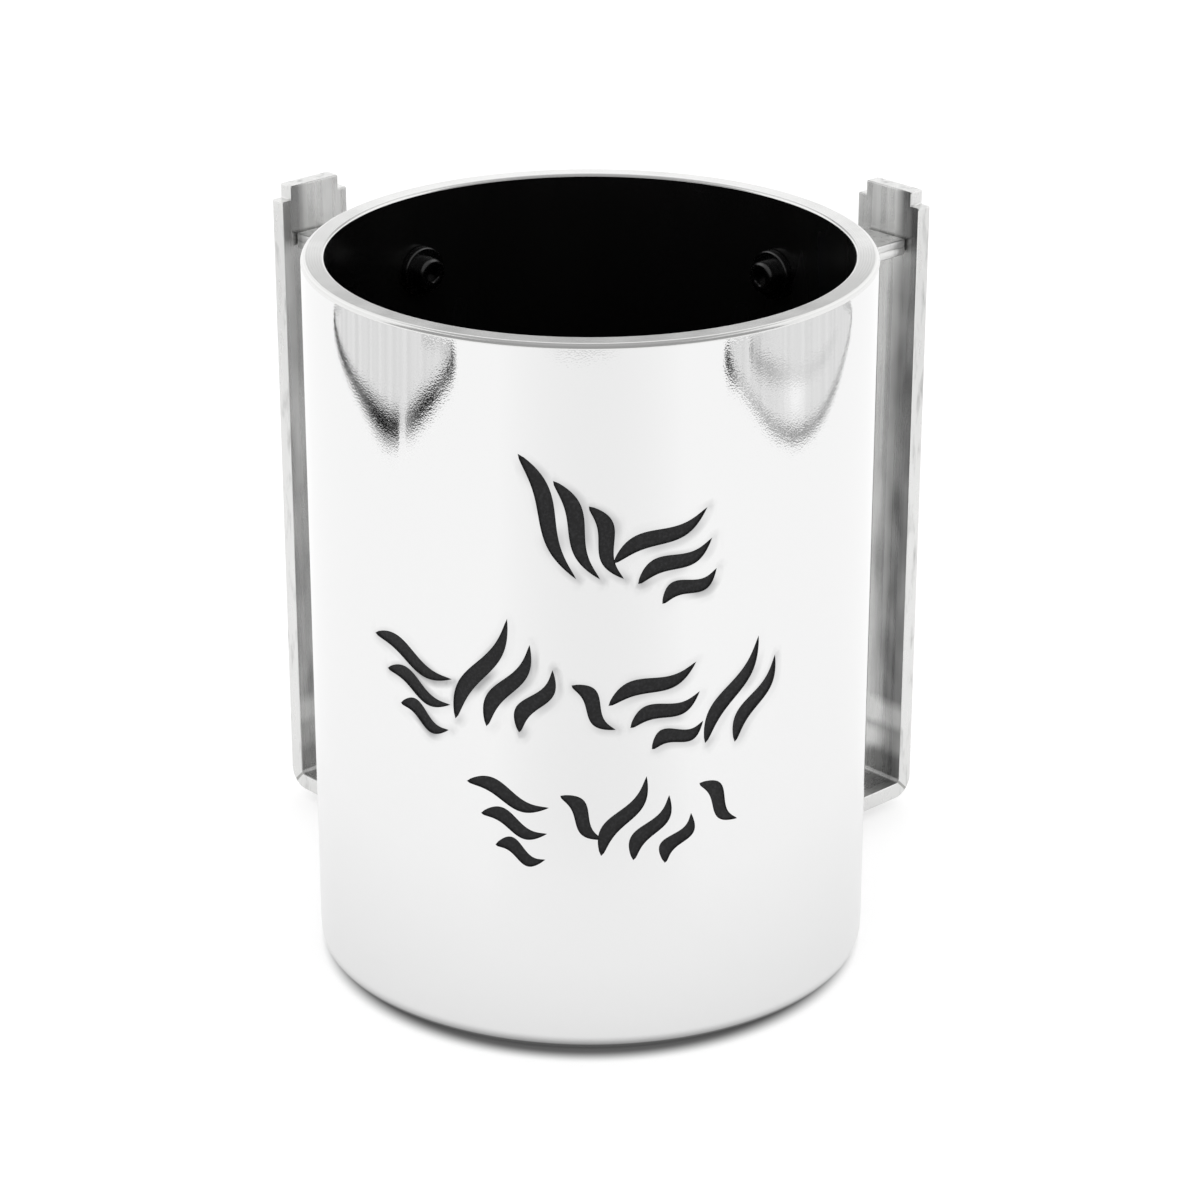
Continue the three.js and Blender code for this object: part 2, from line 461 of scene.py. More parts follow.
def satin_aluminium():
    """Rolled aluminium strip, brushed along its length: soft streaks, with painted dark reflections
    in places.
    """
    material = new_material("satin_aluminium")
    tree = material.node_tree
    colours = settings("colours")
    # Brushing lines are about 0.1 mm apart, and are drawn coarser so that they show
    brushing = grain(tree, (0.22 * MM, 14 * MM, 14 * MM), detail=2)
    streaks = grain(tree, (1.5 * MM, 60 * MM, 60 * MM), detail=2)
    blotches = grain(tree, (4 * MM, 9 * MM, 12 * MM), detail=1)
    # Painted dark reflections, set at each point and broken by blotches and streaks
    dark_reflection = add_node(tree, "ShaderNodeAttribute", attribute_name="dark_reflection").outputs["Fac"]
    loose = add_node(
        tree, "ShaderNodeMapRange", {0: blotches, 1: 0.3, 2: 0.7, 3: -0.11, 4: 0.11}
    )
    streaky = add_node(
        tree, "ShaderNodeMapRange", {0: streaks, 1: 0.3, 2: 0.7, 3: -0.09, 4: 0.09}
    )
    broken = add_node(tree, "ShaderNodeMath", {0: dark_reflection, 1: loose}, operation="ADD")
    drawn = add_node(tree, "ShaderNodeMath", {0: broken, 1: streaky}, operation="ADD")
    shade = add_node(tree, "ShaderNodeMapRange", {0: drawn, 1: 0, 2: 1, 3: 0, 4: 1})
    colour = add_node(
        tree,
        "ShaderNodeMix",
        {"Factor": shade, "A": linear(colours.strip), "B": linear(colours.dark_reflection)},
        data_type="RGBA",
    )
    shader = add_node(
        tree,
        "ShaderNodeBsdfPrincipled",
        {
            "Base Color": colour,
            "Metallic": 1.0,
            "Roughness": add_node(
                tree, "ShaderNodeMapRange", {0: streaks, 1: 0.3, 2: 0.7, 3: 0.34, 4: 0.2}
            ),
            "Normal": add_node(
                tree, "ShaderNodeBump", {"Height": brushing, "Distance": 0.003 * MM}
            ),
        },
    )
    add_node(tree, "ShaderNodeOutputMaterial", {"Surface": shader})
    return material


def sawn_aluminium(name="sawn_aluminium", dullness=0.24, dirtiness=0.7):
    """Aluminium as it was sawn and deburred, or drawn as bar: pale, with fine marks and smudges."""
    material = new_material(name)
    tree = material.node_tree
    colours = settings("colours")
    # The marks are about 0.1 mm apart, and are drawn coarser so that they show
    marks = grain(tree, (1.5 * MM, 1.5 * MM, 0.35 * MM), detail=2)
    smudges = grain(tree, (1.6 * MM, 1.6 * MM, 7 * MM), detail=4)
    dirt = add_node(tree, "ShaderNodeMapRange", {0: smudges, 1: 0.56, 2: 0.78, 3: 0, 4: dirtiness})
    colour = add_node(
        tree,
        "ShaderNodeMix",
        {"Factor": dirt, "A": linear(colours.cut_edge), "B": linear(colours.cut_edge, 0.45)},
        data_type="RGBA",
    )
    shader = add_node(
        tree,
        "ShaderNodeBsdfPrincipled",
        {
            "Base Color": colour,
            "Metallic": 1.0,
            "Roughness": add_node(
                tree,
                "ShaderNodeMapRange",
                {0: smudges, 1: 0.3, 2: 0.7, 3: dullness, 4: dullness + 0.15},
            ),
            "Normal": add_node(tree, "ShaderNodeBump", {"Height": marks, "Distance": 0.008 * MM}),
        },
    )
    add_node(tree, "ShaderNodeOutputMaterial", {"Surface": shader})
    return material


def dressed_seam():
    """Welded seam filed flat: duller and greyer than the strip on either side."""
    material = new_material("dressed_seam")
    tree = material.node_tree
    file_marks = grain(tree, (0.3 * MM, 0.3 * MM, 0.3 * MM), detail=3)
    shader = add_node(
        tree,
        "ShaderNodeBsdfPrincipled",
        {
            "Base Color": linear(settings("colours").seam),
            "Metallic": 1.0,
            "Roughness": 0.5,
            "Normal": add_node(
                tree, "ShaderNodeBump", {"Height": file_marks, "Distance": 0.02 * MM}
            ),
        },
    )
    add_node(tree, "ShaderNodeOutputMaterial", {"Surface": shader})
    return material


def black_oxide_steel():
    """Steel blackened in hot oxide: dark grey, with a soft oily sheen."""
    material = new_material("black_oxide_steel")
    tree = material.node_tree
    scale = grain(tree, (0.5 * MM, 0.5 * MM, 0.5 * MM), detail=2)
    shader = add_node(
        tree,
        "ShaderNodeBsdfPrincipled",
        {
            "Base Color": linear(settings("colours").screw),
            "Metallic": 1.0,
            "Roughness": add_node(
                tree, "ShaderNodeMapRange", {0: scale, 1: 0.3, 2: 0.7, 3: 0.2, 4: 0.3}
            ),
            "Normal": add_node(tree, "ShaderNodeBump", {"Height": scale, "Distance": 0.006 * MM}),
        },
    )
    add_node(tree, "ShaderNodeOutputMaterial", {"Surface": shader})
    return material


# Small tools for meshes
def held(value):
    """The value, held from 0 to 1."""
    return min(max(value, 0), 1)


def new_piece(name, points, faces, materials, indices=None):
    """A mesh object with its materials. Indices give each face's material."""
    mesh = bpy.data.meshes.new(name)
    mesh.from_pydata(points, [], faces)
    for material in materials:
        mesh.materials.append(material)
    if indices:
        mesh.polygons.foreach_set("material_index", indices)
    mesh.polygons.foreach_set("use_smooth", [True] * len(mesh.polygons))
    mesh.update()
    piece = bpy.data.objects.new(name, mesh)
    bpy.context.scene.collection.objects.link(piece)
    return piece


def apply_modifiers(piece):
    """Makes the mesh with its modifiers the piece's own mesh."""
    evaluated = piece.evaluated_get(bpy.context.evaluated_depsgraph_get())
    mesh = bpy.data.meshes.new_from_object(evaluated)
    piece.modifiers.clear()
    piece.data = mesh


def handle_box(node, turn):
    """A node's lowest and highest corners along its handle's own axes: across, outward and up."""
    turned = Matrix.Rotation(-turn, 3, "Z")
    points = [turned @ vertex.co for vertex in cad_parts[node].data.vertices]
    low = Vector([min(point[axis] for point in points) for axis in range(3)])
    high = Vector([max(point[axis] for point in points) for axis in range(3)])
    return low, high


def place_on_handle(piece, turn, slot, *nodes):
    """Turns a piece that was drawn straight behind the cup to its handle, for its nodes."""
    piece.rotation_euler.z = turn
    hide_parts(*nodes)
    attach(piece, "root")


def ring_faces(rings, count):
    """Four-sided faces between neighbouring rings of count points each."""
    faces = []
    for ring in range(rings - 1):
        for column in range(count):
            after = (column + 1) % count
            faces.append(
                (
                    ring * count + column,
                    ring * count + after,
                    (ring + 1) * count + after,
                    (ring + 1) * count + column,
                )
            )
    return faces


# Vessel
# Fineness round the cup, of its roundings and of the screw holes
COLUMNS = 240
ARC_STEPS = 10
HOLE_SIDES = 24
POLISHED, TURNED, ENAMEL, INK = range(4)
# How far the marked front reaches to each side, in degrees
MARKED_REACH = 54
# How many columns of the drilled stretch lie on each side of a screw hole's middle
HOLE_REACH = 3
# How far both stretches reach below the strokes' band and above the screw holes
BAND_MARGIN = 5 * MM

# Each group of strokes: its middle along and up the band, how many, slant in degrees and length,
# and how dark the painted shadow beside it is. Places and length are shares of the band's height.
STROKE_GROUPS = [
    (-0.005, 0.825, 3, -66, 0.3, 0.5),
    (0.205, 0.745, 3, 28, 0.23, 0.7),
    (-0.375, 0.415, 3, -14, 0.22, 0.8),
    (-0.155, 0.46, 3, 64, 0.28, 0.8),
    (0.03, 0.42, 1, -48, 0.14, 0.4),
    (0.185, 0.405, 3, 24, 0.21, 0.4),
    (0.37, 0.41, 2, 60, 0.26, 0.4),
    (-0.145, 0.135, 3, -12, 0.19, 0.0),
    (0.005, 0.16, 1, -48, 0.14, 0.0),
    (0.155, 0.13, 3, 62, 0.21, 0.0),
    (0.31, 0.17, 1, -48, 0.14, 0.0),
]
# A stroke's width, its sway to each side and the space from one to the next, as shares of the
# band's height, and by what share of its length each one is shorter than the one before it
STROKE_WIDTH = 0.038
STROKE_SWAY = 0.014
STROKE_PITCH = 0.068
STROKE_SHORTENING = 0.2
# Powers that round a stroke's belly, and the ends of an outline grown from it
STROKE_FULLNESS = 0.8
GROWN_FULLNESS = 0.25
# Fineness along a stroke
STROKE_STEPS = 26
# Outline points nearer to each other than this count as one
POINT_GAP = 0.02 * MM
# The painted shadow is shifted a little aside, like a drop shadow. Its rings are shares of its
# reach.
STROKE_SHADOW_SHIFT = (0.4 * MM, -0.25 * MM)
STROKE_SHADOW_RINGS = (1.8, 0.9, 0.45)


class Stroke:
    """One slim S on the unrolled wall, with a point at each end, thickest before its middle."""

    def __init__(self, along, level, slant, length, band, tarnish):
        self.middle = Vector((along, level))
        self.slant = slant
        self.length = length
        self.half_width = band * STROKE_WIDTH / 2
        self.sway = band * STROKE_SWAY
        self.tarnish = tarnish

    @staticmethod
    def belly(share):
        """How full the stroke is at a share of its length, from 0 to 1."""
        return max(math.sin(math.pi * share**STROKE_FULLNESS), 0) ** STROKE_FULLNESS

    def centre(self, share):
        """How far aside the stroke's middle sways at a share of its length."""
        return self.sway * math.sin(2 * math.pi * share)

    def breadth(self, share, grow):
        """Half the width at a share of the length, with rounded ends where it is grown."""
        ends = max(math.sin(math.pi * share), 0) ** GROWN_FULLNESS if grow > 0 else 1
        return self.half_width * self.belly(share) + grow * ends

    def outline(self, grow=0.0, shift=(0, 0)):
        """The closed outline on the unrolled wall, grown or shrunk, and moved aside by shift."""
        shares = [step / STROKE_STEPS for step in range(STROKE_STEPS + 1)]
        if grow < 0:
            shares = [share for share in shares if self.breadth(share, grow) > POINT_GAP]
        stretch = self.length + 2 * max(grow, 0)
        sides = [(share, -1) for share in shares] + [(share, 1) for share in reversed(shares)]
        turn = Matrix.Rotation(self.slant, 2)
        kept = []
        for share, sign in sides:
            across = self.centre(share) + sign * self.breadth(share, grow)
            point = turn @ Vector(((share - 0.5) * stretch, across)) + self.middle + Vector(shift)
            if not kept or (point - kept[-1]).length > POINT_GAP:
                kept.append(point)
        if (kept[0] - kept[-1]).length <= POINT_GAP:
            kept.pop()
        return kept

    def stroke_shadow_at(self, point, halo):
        """How dark this stroke's painted shadow is at a point of the unrolled wall, from 0 to 1."""
        away = Matrix.Rotation(-self.slant, 2) @ (point - self.middle - Vector(STROKE_SHADOW_SHIFT))
        share = held(away.x / self.length + 0.5)
        beyond = max(abs(away.x) - self.length / 2, 0)
        across = max(abs(away.y - self.centre(share)) - self.half_width * self.belly(share), 0)
        return self.tarnish * max(1 - math.hypot(across, beyond) / halo, 0)


def all_strokes():
    """Every stroke of every group."""
    sizes = settings("strokes")
    band = sizes.band_high - sizes.band_low
    pitch = band * STROKE_PITCH
    strokes = []
    for along, level, count, slant_degrees, length, tarnish in STROKE_GROUPS:
        slant = math.radians(slant_degrees)
        for index in range(count):
            offset = (index - (count - 1) / 2) * pitch
            strokes.append(
                Stroke(
                    along * band + offset * math.sin(abs(slant)),
                    sizes.band_low + level * band - offset * math.cos(slant),
                    slant,
                    length * (1 - STROKE_SHORTENING * index) * band,
                    band,
                    tarnish,
                )
            )
    return strokes


def arc(centre_radius, centre_height, radius, start, end, hollow=False):
    """Points of a quarter of the profile, each with its outward direction."""
    points = []
    for step in range(ARC_STEPS + 1):
        angle = start + (end - start) * step / ARC_STEPS
        way = Vector((math.cos(angle), math.sin(angle)))
        place = Vector((centre_radius, centre_height)) + radius * way
        points.append((place, -way if hollow else way))
    return points


def cup_profile(low, high):
    """The profile from the middle of the underside round to the middle of the floor inside.

    Each stretch is its finish and its points. The straight walls have points at low and high.
    """
    sizes = settings("cup")
    quarter = math.pi / 2
    outer = CUP_RADIUS
    inner = outer - sizes.wall
    out, down, up = Vector((1, 0)), Vector((0, -1)), Vector((0, 1))
    rim = CUP_HEIGHT
    base = outer - sizes.base
    rim_out, rim_in = outer - sizes.rim_outer, inner + sizes.rim_inner
    rim_out_foot, rim_in_foot = rim - sizes.rim_outer, rim - sizes.rim_inner
    floor_edge = inner - sizes.floor_corner
    corner_head = sizes.floor + sizes.floor_corner

    def outside(first, second):
        """Straight up or down the outer wall."""
        return [(Vector((outer, height)), out) for height in (first, second)]

    def inside(first, second):
        """Straight up or down the inner wall."""
        return [(Vector((inner, height)), -out) for height in (first, second)]

    def level(first, second, height, way):
        """Straight towards the axis or away from it."""
        return [(Vector((radius, height)), way) for radius in (first, second)]

    return [
        (TURNED, level(0, base, 0, down)),
        (POLISHED, arc(base, sizes.base, sizes.base, -quarter, 0)),
        (POLISHED, outside(sizes.base, low)),
        (None, outside(low, high)),
        (POLISHED, outside(high, rim_out_foot)),
        (TURNED, arc(rim_out, rim_out_foot, sizes.rim_outer, 0, quarter)),
        (TURNED, level(rim_out, rim_in, rim, up)),
        (TURNED, arc(rim_in, rim_in_foot, sizes.rim_inner, quarter, 2 * quarter)),
        (ENAMEL, inside(rim_in_foot, high)),
        (None, inside(high, low)),
        (ENAMEL, inside(low, corner_head)),
        (ENAMEL, arc(floor_edge, corner_head, sizes.floor_corner, 0, -quarter, hollow=True)),
        (ENAMEL, level(floor_edge, 0, sizes.floor, up)),
    ]


class CupMesh:
    """Gathers the vessel's points and faces, with each face corner's own normal."""

    # Places nearer to each other than this are one point
    STEP = 0.0001 * MM

    def __init__(self):
        self.points = []
        self.places = {}
        self.faces = []
        self.normals = []
        self.finishes = []
        self.tarnish = {}

    def point(self, angle, radius, height):
        """The number of the point there, made once. Angles go round from the front."""
        place = (radius * math.sin(angle), -radius * math.cos(angle), height)
        key = tuple(round(value / self.STEP) for value in place)
        if key not in self.places:
            self.places[key] = len(self.points)
            self.points.append(place)
        return self.places[key]

    def face(self, corners, finish_index):
        """Adds a face from (point, normal) corners, and drops one that has no area."""
        kept = [corner for i, corner in enumerate(corners) if corner[0] != corners[i - 1][0]]
        if len({number for number, normal in kept}) < 3:
            return
        self.faces.append([number for number, normal in kept])
        self.normals += [normal for number, normal in kept]
        self.finishes.append(finish_index)


def column_angle(column):
    """A column's angle round the cup, from the front."""
    return 2 * math.pi * column / COLUMNS


def outward(angle, way=(1, 0)):
    """A direction of the profile, turned to an angle round the cup."""
    return Vector((way[0] * math.sin(angle), -way[0] * math.cos(angle), way[1]))


def lay_stretch(cup, points, finish_index, columns):
    """Turns one stretch of the profile round the cup."""
    for (first, first_way), (second, second_way) in zip(points, points[1:]):
        for column in columns:
            ends = (column_angle(column), column_angle(column + 1))
            corners = [
                (cup.point(ends[0], *first), outward(ends[0], first_way)),
                (cup.point(ends[1], *first), outward(ends[1], first_way)),
                (cup.point(ends[1], *second), outward(ends[1], second_way)),
                (cup.point(ends[0], *second), outward(ends[0], second_way)),
            ]
            cup.face(corners, finish_index)


def panel(first_column, last_column, low, high, outlines):
    """The unrolled wall between two columns as triangles, cut along the columns and outlines.

    Gives the points, the triangles and which outlines each triangle lies in.
    """
    points, edges = [], []
    count = last_column - first_column + 1
    for column in range(first_column, last_column + 1):
        along = column_angle(column) * CUP_RADIUS
        points += [Vector((along, low)), Vector((along, high))]
    for index in range(count):
        edges.append((2 * index, 2 * index + 1))
        if index:
            edges += [(2 * index - 2, 2 * index), (2 * index - 1, 2 * index + 1)]
    faces = []
    for outline in outlines:
        start = len(points)
        points += outline
        faces.append(list(range(start, len(points))))
    # It works in mm, keeps all triangles (0) and joins points that are nearer than 0.0001 mm
    scaled = [point / MM for point in points]
    made = delaunay_2d_cdt(scaled, edges, faces, 0, 1e-4)
    return [point * MM for point in made[0]], made[2], made[5]


def lay_marked_front(cup, first_column, last_column, low, high):
    """The front of the wall, with the strokes sunk into it and a painted shadow beside them."""
    sizes = settings("strokes")
    strokes = all_strokes()
    outlines, roles = [], []
    for stroke in strokes:
        outlines += [stroke.outline(), stroke.outline(-sizes.edge)]
        roles += ["edge", "floor"]
        if stroke.tarnish:
            for share in STROKE_SHADOW_RINGS:
                outlines.append(stroke.outline(share * sizes.halo, STROKE_SHADOW_SHIFT))
                roles.append("tarnish")
    points, triangles, owners = panel(first_column, last_column, low, high, outlines)
    roles_of = [{roles[owner] for owner in face} for face in owners]
    sunk = {p for face, part in zip(triangles, roles_of) if "floor" in part for p in face}
    numbers = []
    for index, place in enumerate(points):
        radius = CUP_RADIUS - (sizes.depth if index in sunk else 0)
        number = cup.point(place.x / CUP_RADIUS, radius, place.y)
        numbers.append(number)
        cup.tarnish[number] = max(stroke.stroke_shadow_at(place, sizes.halo) for stroke in strokes)
    for face, part in zip(triangles, roles_of):
        corners = [numbers[index] for index in face]
        radial = [outward(points[index].x / CUP_RADIUS) for index in face]
        inked = "edge" in part
        if inked and "floor" not in part:
            a, b, c = (Vector(cup.points[corner]) for corner in corners)
            slope = (b - a).cross(c - a)
            if slope.dot(radial[0]) < 0:
                slope.negate()
            radial = [slope.normalized()] * 3
        a, b, c = (points[index] for index in face)
        corners = list(zip(corners, radial))
        if (b - a).cross(c - a) < 0:
            corners.reverse()
        cup.face(corners, INK if inked else POLISHED)


def lay_drilled_wall(cup, first_column, last_column, low, high, hole_height):
    """Both faces of the wall at a handle, with the screw's hole between them."""
    sizes = settings("cup")
    middle = (column_angle(first_column) + column_angle(last_column)) / 2
    outline = []
    for step in range(HOLE_SIDES):
        angle = 2 * math.pi * step / HOLE_SIDES
        along = middle * CUP_RADIUS + sizes.screw_hole * math.cos(angle)
        outline.append(Vector((along, hole_height + sizes.screw_hole * math.sin(angle))))
    points, triangles, owners = panel(first_column, last_column, low, high, [outline])
    outer, inner = CUP_RADIUS, CUP_RADIUS - sizes.wall
    walls = ((outer, POLISHED, 1), (inner, ENAMEL, -1))
    open_edges = set()
    for face, inside in zip(triangles, owners):
        ordered = list(face)
        a, b, c = (points[index] for index in ordered)
        if (b - a).cross(c - a) < 0:
            ordered.reverse()
        if inside:
            continue
        for radius, finish_index, way in walls:
            corners = []
            for index in ordered:
                angle = points[index].x / CUP_RADIUS
                number = cup.point(angle, radius, points[index].y)
                corners.append((number, outward(angle, (way, 0))))
            cup.face(corners if way > 0 else corners[::-1], finish_index)
        for start, end in zip(ordered, ordered[1:] + ordered[:1]):
            open_edges ^= {(start, end)} if (end, start) not in open_edges else {(end, start)}
    centre = Vector((middle * CUP_RADIUS, hole_height))
    for start, end in open_edges:
        if max((points[index] - centre).length for index in (start, end)) > 2 * sizes.screw_hole:
            continue
        rim = []
        for index, radius in ((end, outer), (start, outer), (start, inner), (end, inner)):
            place = points[index]
            inward = (centre - place).normalized()
            angle = place.x / CUP_RADIUS
            across = Vector((math.cos(angle), math.sin(angle), 0))
            normal = across * inward.x + Vector((0, 0, inward.y))
            rim.append((cup.point(angle, radius, place.y), normal))
        cup.face(rim, TURNED)


def build_cup():
    """The vessel: one closed mesh with the strokes sunk in its front and a hole at each handle."""
    handles = settings("handles")
    strokes = settings("strokes")
    low = strokes.band_low - BAND_MARGIN
    hole_box = handle_box("left_screw", handles.turn)
    hole_height = (hole_box[0].z + hole_box[1].z) / 2
    high = hole_height + BAND_MARGIN
    marked = round(COLUMNS * MARKED_REACH / 360)
    hole_column = round(COLUMNS * (0.5 - handles.turn / (2 * math.pi)))
    middles = (hole_column, COLUMNS - hole_column)
    holes = [(middle - HOLE_REACH, middle + HOLE_REACH) for middle in middles]
    all_columns = range(-marked, COLUMNS - marked)
    undrilled = [c for c in all_columns if not any(first <= c < last for first, last in holes)]
    plain_columns = [c for c in undrilled if c >= marked]
    cup = CupMesh()
    for finish_index, points in cup_profile(low, high):
        if finish_index is not None:
            lay_stretch(cup, points, finish_index, all_columns)
        elif points[0][0].x > CUP_RADIUS - settings("cup").wall / 2:
            lay_stretch(cup, points, POLISHED, plain_columns)
        else:
            lay_stretch(cup, points, ENAMEL, undrilled)
    lay_marked_front(cup, -marked, marked, low, high)
    for first, last in holes:
        lay_drilled_wall(cup, first, last, low, high, hole_height)
    materials = [polished_aluminium(), turned_aluminium(), black_enamel(), charcoal_fill()]
    piece = new_piece("cup", cup.points, cup.faces, materials, cup.finishes)
    # How dark the painted shadow beside the strokes is at each point
    grey = piece.data.attributes.new("tarnish", "FLOAT", "POINT")
    grey.data.foreach_set("value", [cup.tarnish.get(i, 0.0) for i in range(len(cup.points))])
    piece.data.normals_split_custom_set(cup.normals)
    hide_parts("cup_body")
    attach(piece, "root")


# Handle strips
SATIN, SAWN, SEAM = range(3)
FOLD_STEPS = 10
# Where the strip's mesh is cut lengthwise between the tab's sides, as shares of the tab's half
STRIP_CUTS = (-0.7, -0.35, 0, 0.35, 0.7)
BEVEL_STEPS = 3
# Only edges that turn more sharply than this are broken
BEVEL_ANGLE = math.radians(40)
# The groove that the seam leaves in the edges: its depth, and how far it is cut past both faces
SEAM_DEPTH = 0.14 * MM
SEAM_PAST_INSIDE = 0.4 * MM
SEAM_PAST_OUTSIDE = 0.6 * MM
# Painted dark reflections on the strip's inner face, from 0 to 1. Each level is a height above the
# table in mm, how dark they are at the back and at the front edge, and how far across the strip
# they begin to change, from -1 at the back edge to 1 at the front edge. Well below 0, not even a
# streak shows.
DARK_REFLECTION_LEVELS = (
    (6, 0.4, 0.7, -0.3),
    (10, 0.4, 0.75, -0.3),
    (12, -0.15, 0.4, -0.2),
    (14, -0.15, 0.45, -0.2),
    (15.8, 0.3, 0.6, -0.2),
    (17.5, -0.2, 0.3, -0.1),
    (20, -0.2, 0.35, -0.1),
    (22.5, 0.05, 0.85, -0.4),
    (60, -0.1, 0.8, -0.35),
    (105, -0.1, 0.8, -0.3),
    (112.5, 0.1, 0.7, 0.2),
    (117.5, 0.3, 1.0, 0.3),
    (121, 0.15, 1.0, 0.2),
)
# How far across the strip the change ends
DARK_REFLECTION_FULL_AT = 0.6
# Painted dark reflections on top of the foot and on all outer faces
FOOT_DARK_REFLECTION = 0.2
BACK_DARK_REFLECTION = 0.05
# How strong they are on each strip: the left one has less
DARK_REFLECTION_SHARES = {"left": 0.65, "right": 1.0}
# How far from the inner face, and from the fold, a point still counts as on it
FACE_MARGIN = 0.25 * MM
FOLD_MARGIN = 0.5 * MM


def wall_distance(across):
    """How far behind the axis the wall is, at a place across the handle."""
    touch = CUP_RADIUS + settings("handles").hairline
    return math.sqrt(touch**2 - across**2)


def strip_cage(low, high):
    """The strip before its edges are broken: a folded foot, an upright and a narrower tab."""
    sizes = settings("handles")
    half = high.x
    tab = half - sizes.tab_inset
    across = [-half, -tab, *(share * tab for share in STRIP_CUTS), tab, half]
    fold_out = high.y - sizes.fold
    fold_up = low.z + sizes.fold
    inner_radius = sizes.fold - sizes.thickness
    # Each station is a place on the inner and on the outer face. The first follows the wall.
    stations = [None]
    centre = Vector((fold_out, fold_up))
    for step in range(FOLD_STEPS + 1):
        angle = -math.pi / 2 + math.pi / 2 * step / FOLD_STEPS
        way = Vector((math.cos(angle), math.sin(angle)))
        stations.append((centre + inner_radius * way, centre + sizes.fold * way))
    levels = [level[0] * MM for level in DARK_REFLECTION_LEVELS if level[0] * MM > fold_up]
    for height in levels + [high.z - sizes.tab_height, high.z]:
        stations.append((Vector((high.y - sizes.thickness, height)), Vector((high.y, height))))
    points = []
    for station in stations:
        for x in across:
            if station is None:
                y = wall_distance(x)
                points += [(x, y, low.z + sizes.thickness), (x, y, low.z)]
            else:
                points += [(x, *station[0]), (x, *station[1])]
    width = len(across)
    last = len(stations) - 2

    def there(station, column):
        """Whether the strip has a part there: the tab lacks the outermost columns."""
        inside = 0 <= station <= last and 0 <= column < width - 1
        return inside and (station < last or 1 <= column < width - 2)

    def number(station, column, side):
        """A point's number, on side 0, which is the inner face, or on side 1."""
        return 2 * (station * width + column) + side

    faces, indices = [], []
    for station in range(last + 1):
        for column in range(width - 1):
            if not there(station, column):
                continue
            a, b, c, d = (
                (station, column),
                (station, column + 1),
                (station + 1, column + 1),
                (station + 1, column),
            )
            faces.append([number(*corner, 0) for corner in (a, b, c, d)])
            faces.append([number(*corner, 1) for corner in (d, c, b, a)])
            indices += [SATIN, SATIN]
            beside = (
                ((station - 1, column), (b, a)),
                ((station, column + 1), (c, b)),
                ((station + 1, column), (d, c)),
                ((station, column - 1), (a, d)),
            )
            for neighbour, (start, end) in beside:
                if not there(*neighbour):
                    faces.append(
                        [number(*start, 0), number(*end, 0), number(*end, 1), number(*start, 1)]
                    )
                    indices.append(SAWN)
    used = sorted({index for face in faces for index in face})
    renumber = {old: new for new, old in enumerate(used)}
    faces = [[renumber[index] for index in face] for face in faces]
    return [points[index] for index in used], faces, indices


def seam_cutter(low, high, materials):
    """Slim blocks that cut the seam's shallow groove across both edges of the fold."""
    sizes = settings("handles")
    points, faces = [], []
    slant = math.radians(-45)
    along = Vector((math.cos(slant), math.sin(slant)))
    beside = Vector((-along.y, along.x)) * sizes.seam / 2
    centre = Vector((high.y - sizes.fold, low.z + sizes.fold))
    near = centre + along * (sizes.fold - sizes.thickness - SEAM_PAST_INSIDE)
    far = centre + along * (sizes.fold + SEAM_PAST_OUTSIDE)
    block = ((0, 1, 2, 3), (7, 6, 5, 4), (0, 4, 5, 1), (1, 5, 6, 2), (2, 6, 7, 3), (3, 7, 4, 0))
    for side in (-1, 1):
        start = len(points)
        for x in (side * (high.x - SEAM_DEPTH), side * (high.x + MM)):
            for corner in (near - beside, far - beside, far + beside, near + beside):
                points.append((x, *corner))
        for face in block:
            ordered = face if side < 0 else face[::-1]
            faces.append([start + index for index in ordered])
    return new_piece("seam_cutter", points, faces, materials, [SEAM] * len(faces))


def dark_reflection_at(place, low, high, sign):
    """How dark the painted reflection is at a point of the strip: none to speak of but on the inner
    faces.
    """
    sizes = settings("handles")
    behind = place.y > high.y - sizes.thickness + FACE_MARGIN
    beneath = place.z < low.z + sizes.thickness - FACE_MARGIN
    if behind or beneath:
        return BACK_DARK_REFLECTION
    if place.y < high.y - sizes.fold - FOLD_MARGIN:
        return FOOT_DARK_REFLECTION
    height = place.z / MM
    first = ([level for level in DARK_REFLECTION_LEVELS if level[0] < height] or DARK_REFLECTION_LEVELS[:1])[-1]
    second = ([level for level in DARK_REFLECTION_LEVELS if level[0] >= height] or DARK_REFLECTION_LEVELS[-1:])[0]
    rise = (height - first[0]) / (second[0] - first[0]) if second[0] != first[0] else 0
    rise = held(rise)
    back, front, begins = (a + (b - a) * rise for a, b in zip(first[1:], second[1:]))
    to_front = -sign * place.x / high.x
    share = held((to_front - begins) / (DARK_REFLECTION_FULL_AT - begins))
    share = share * share * (3 - 2 * share)
    return back + (front - back) * share


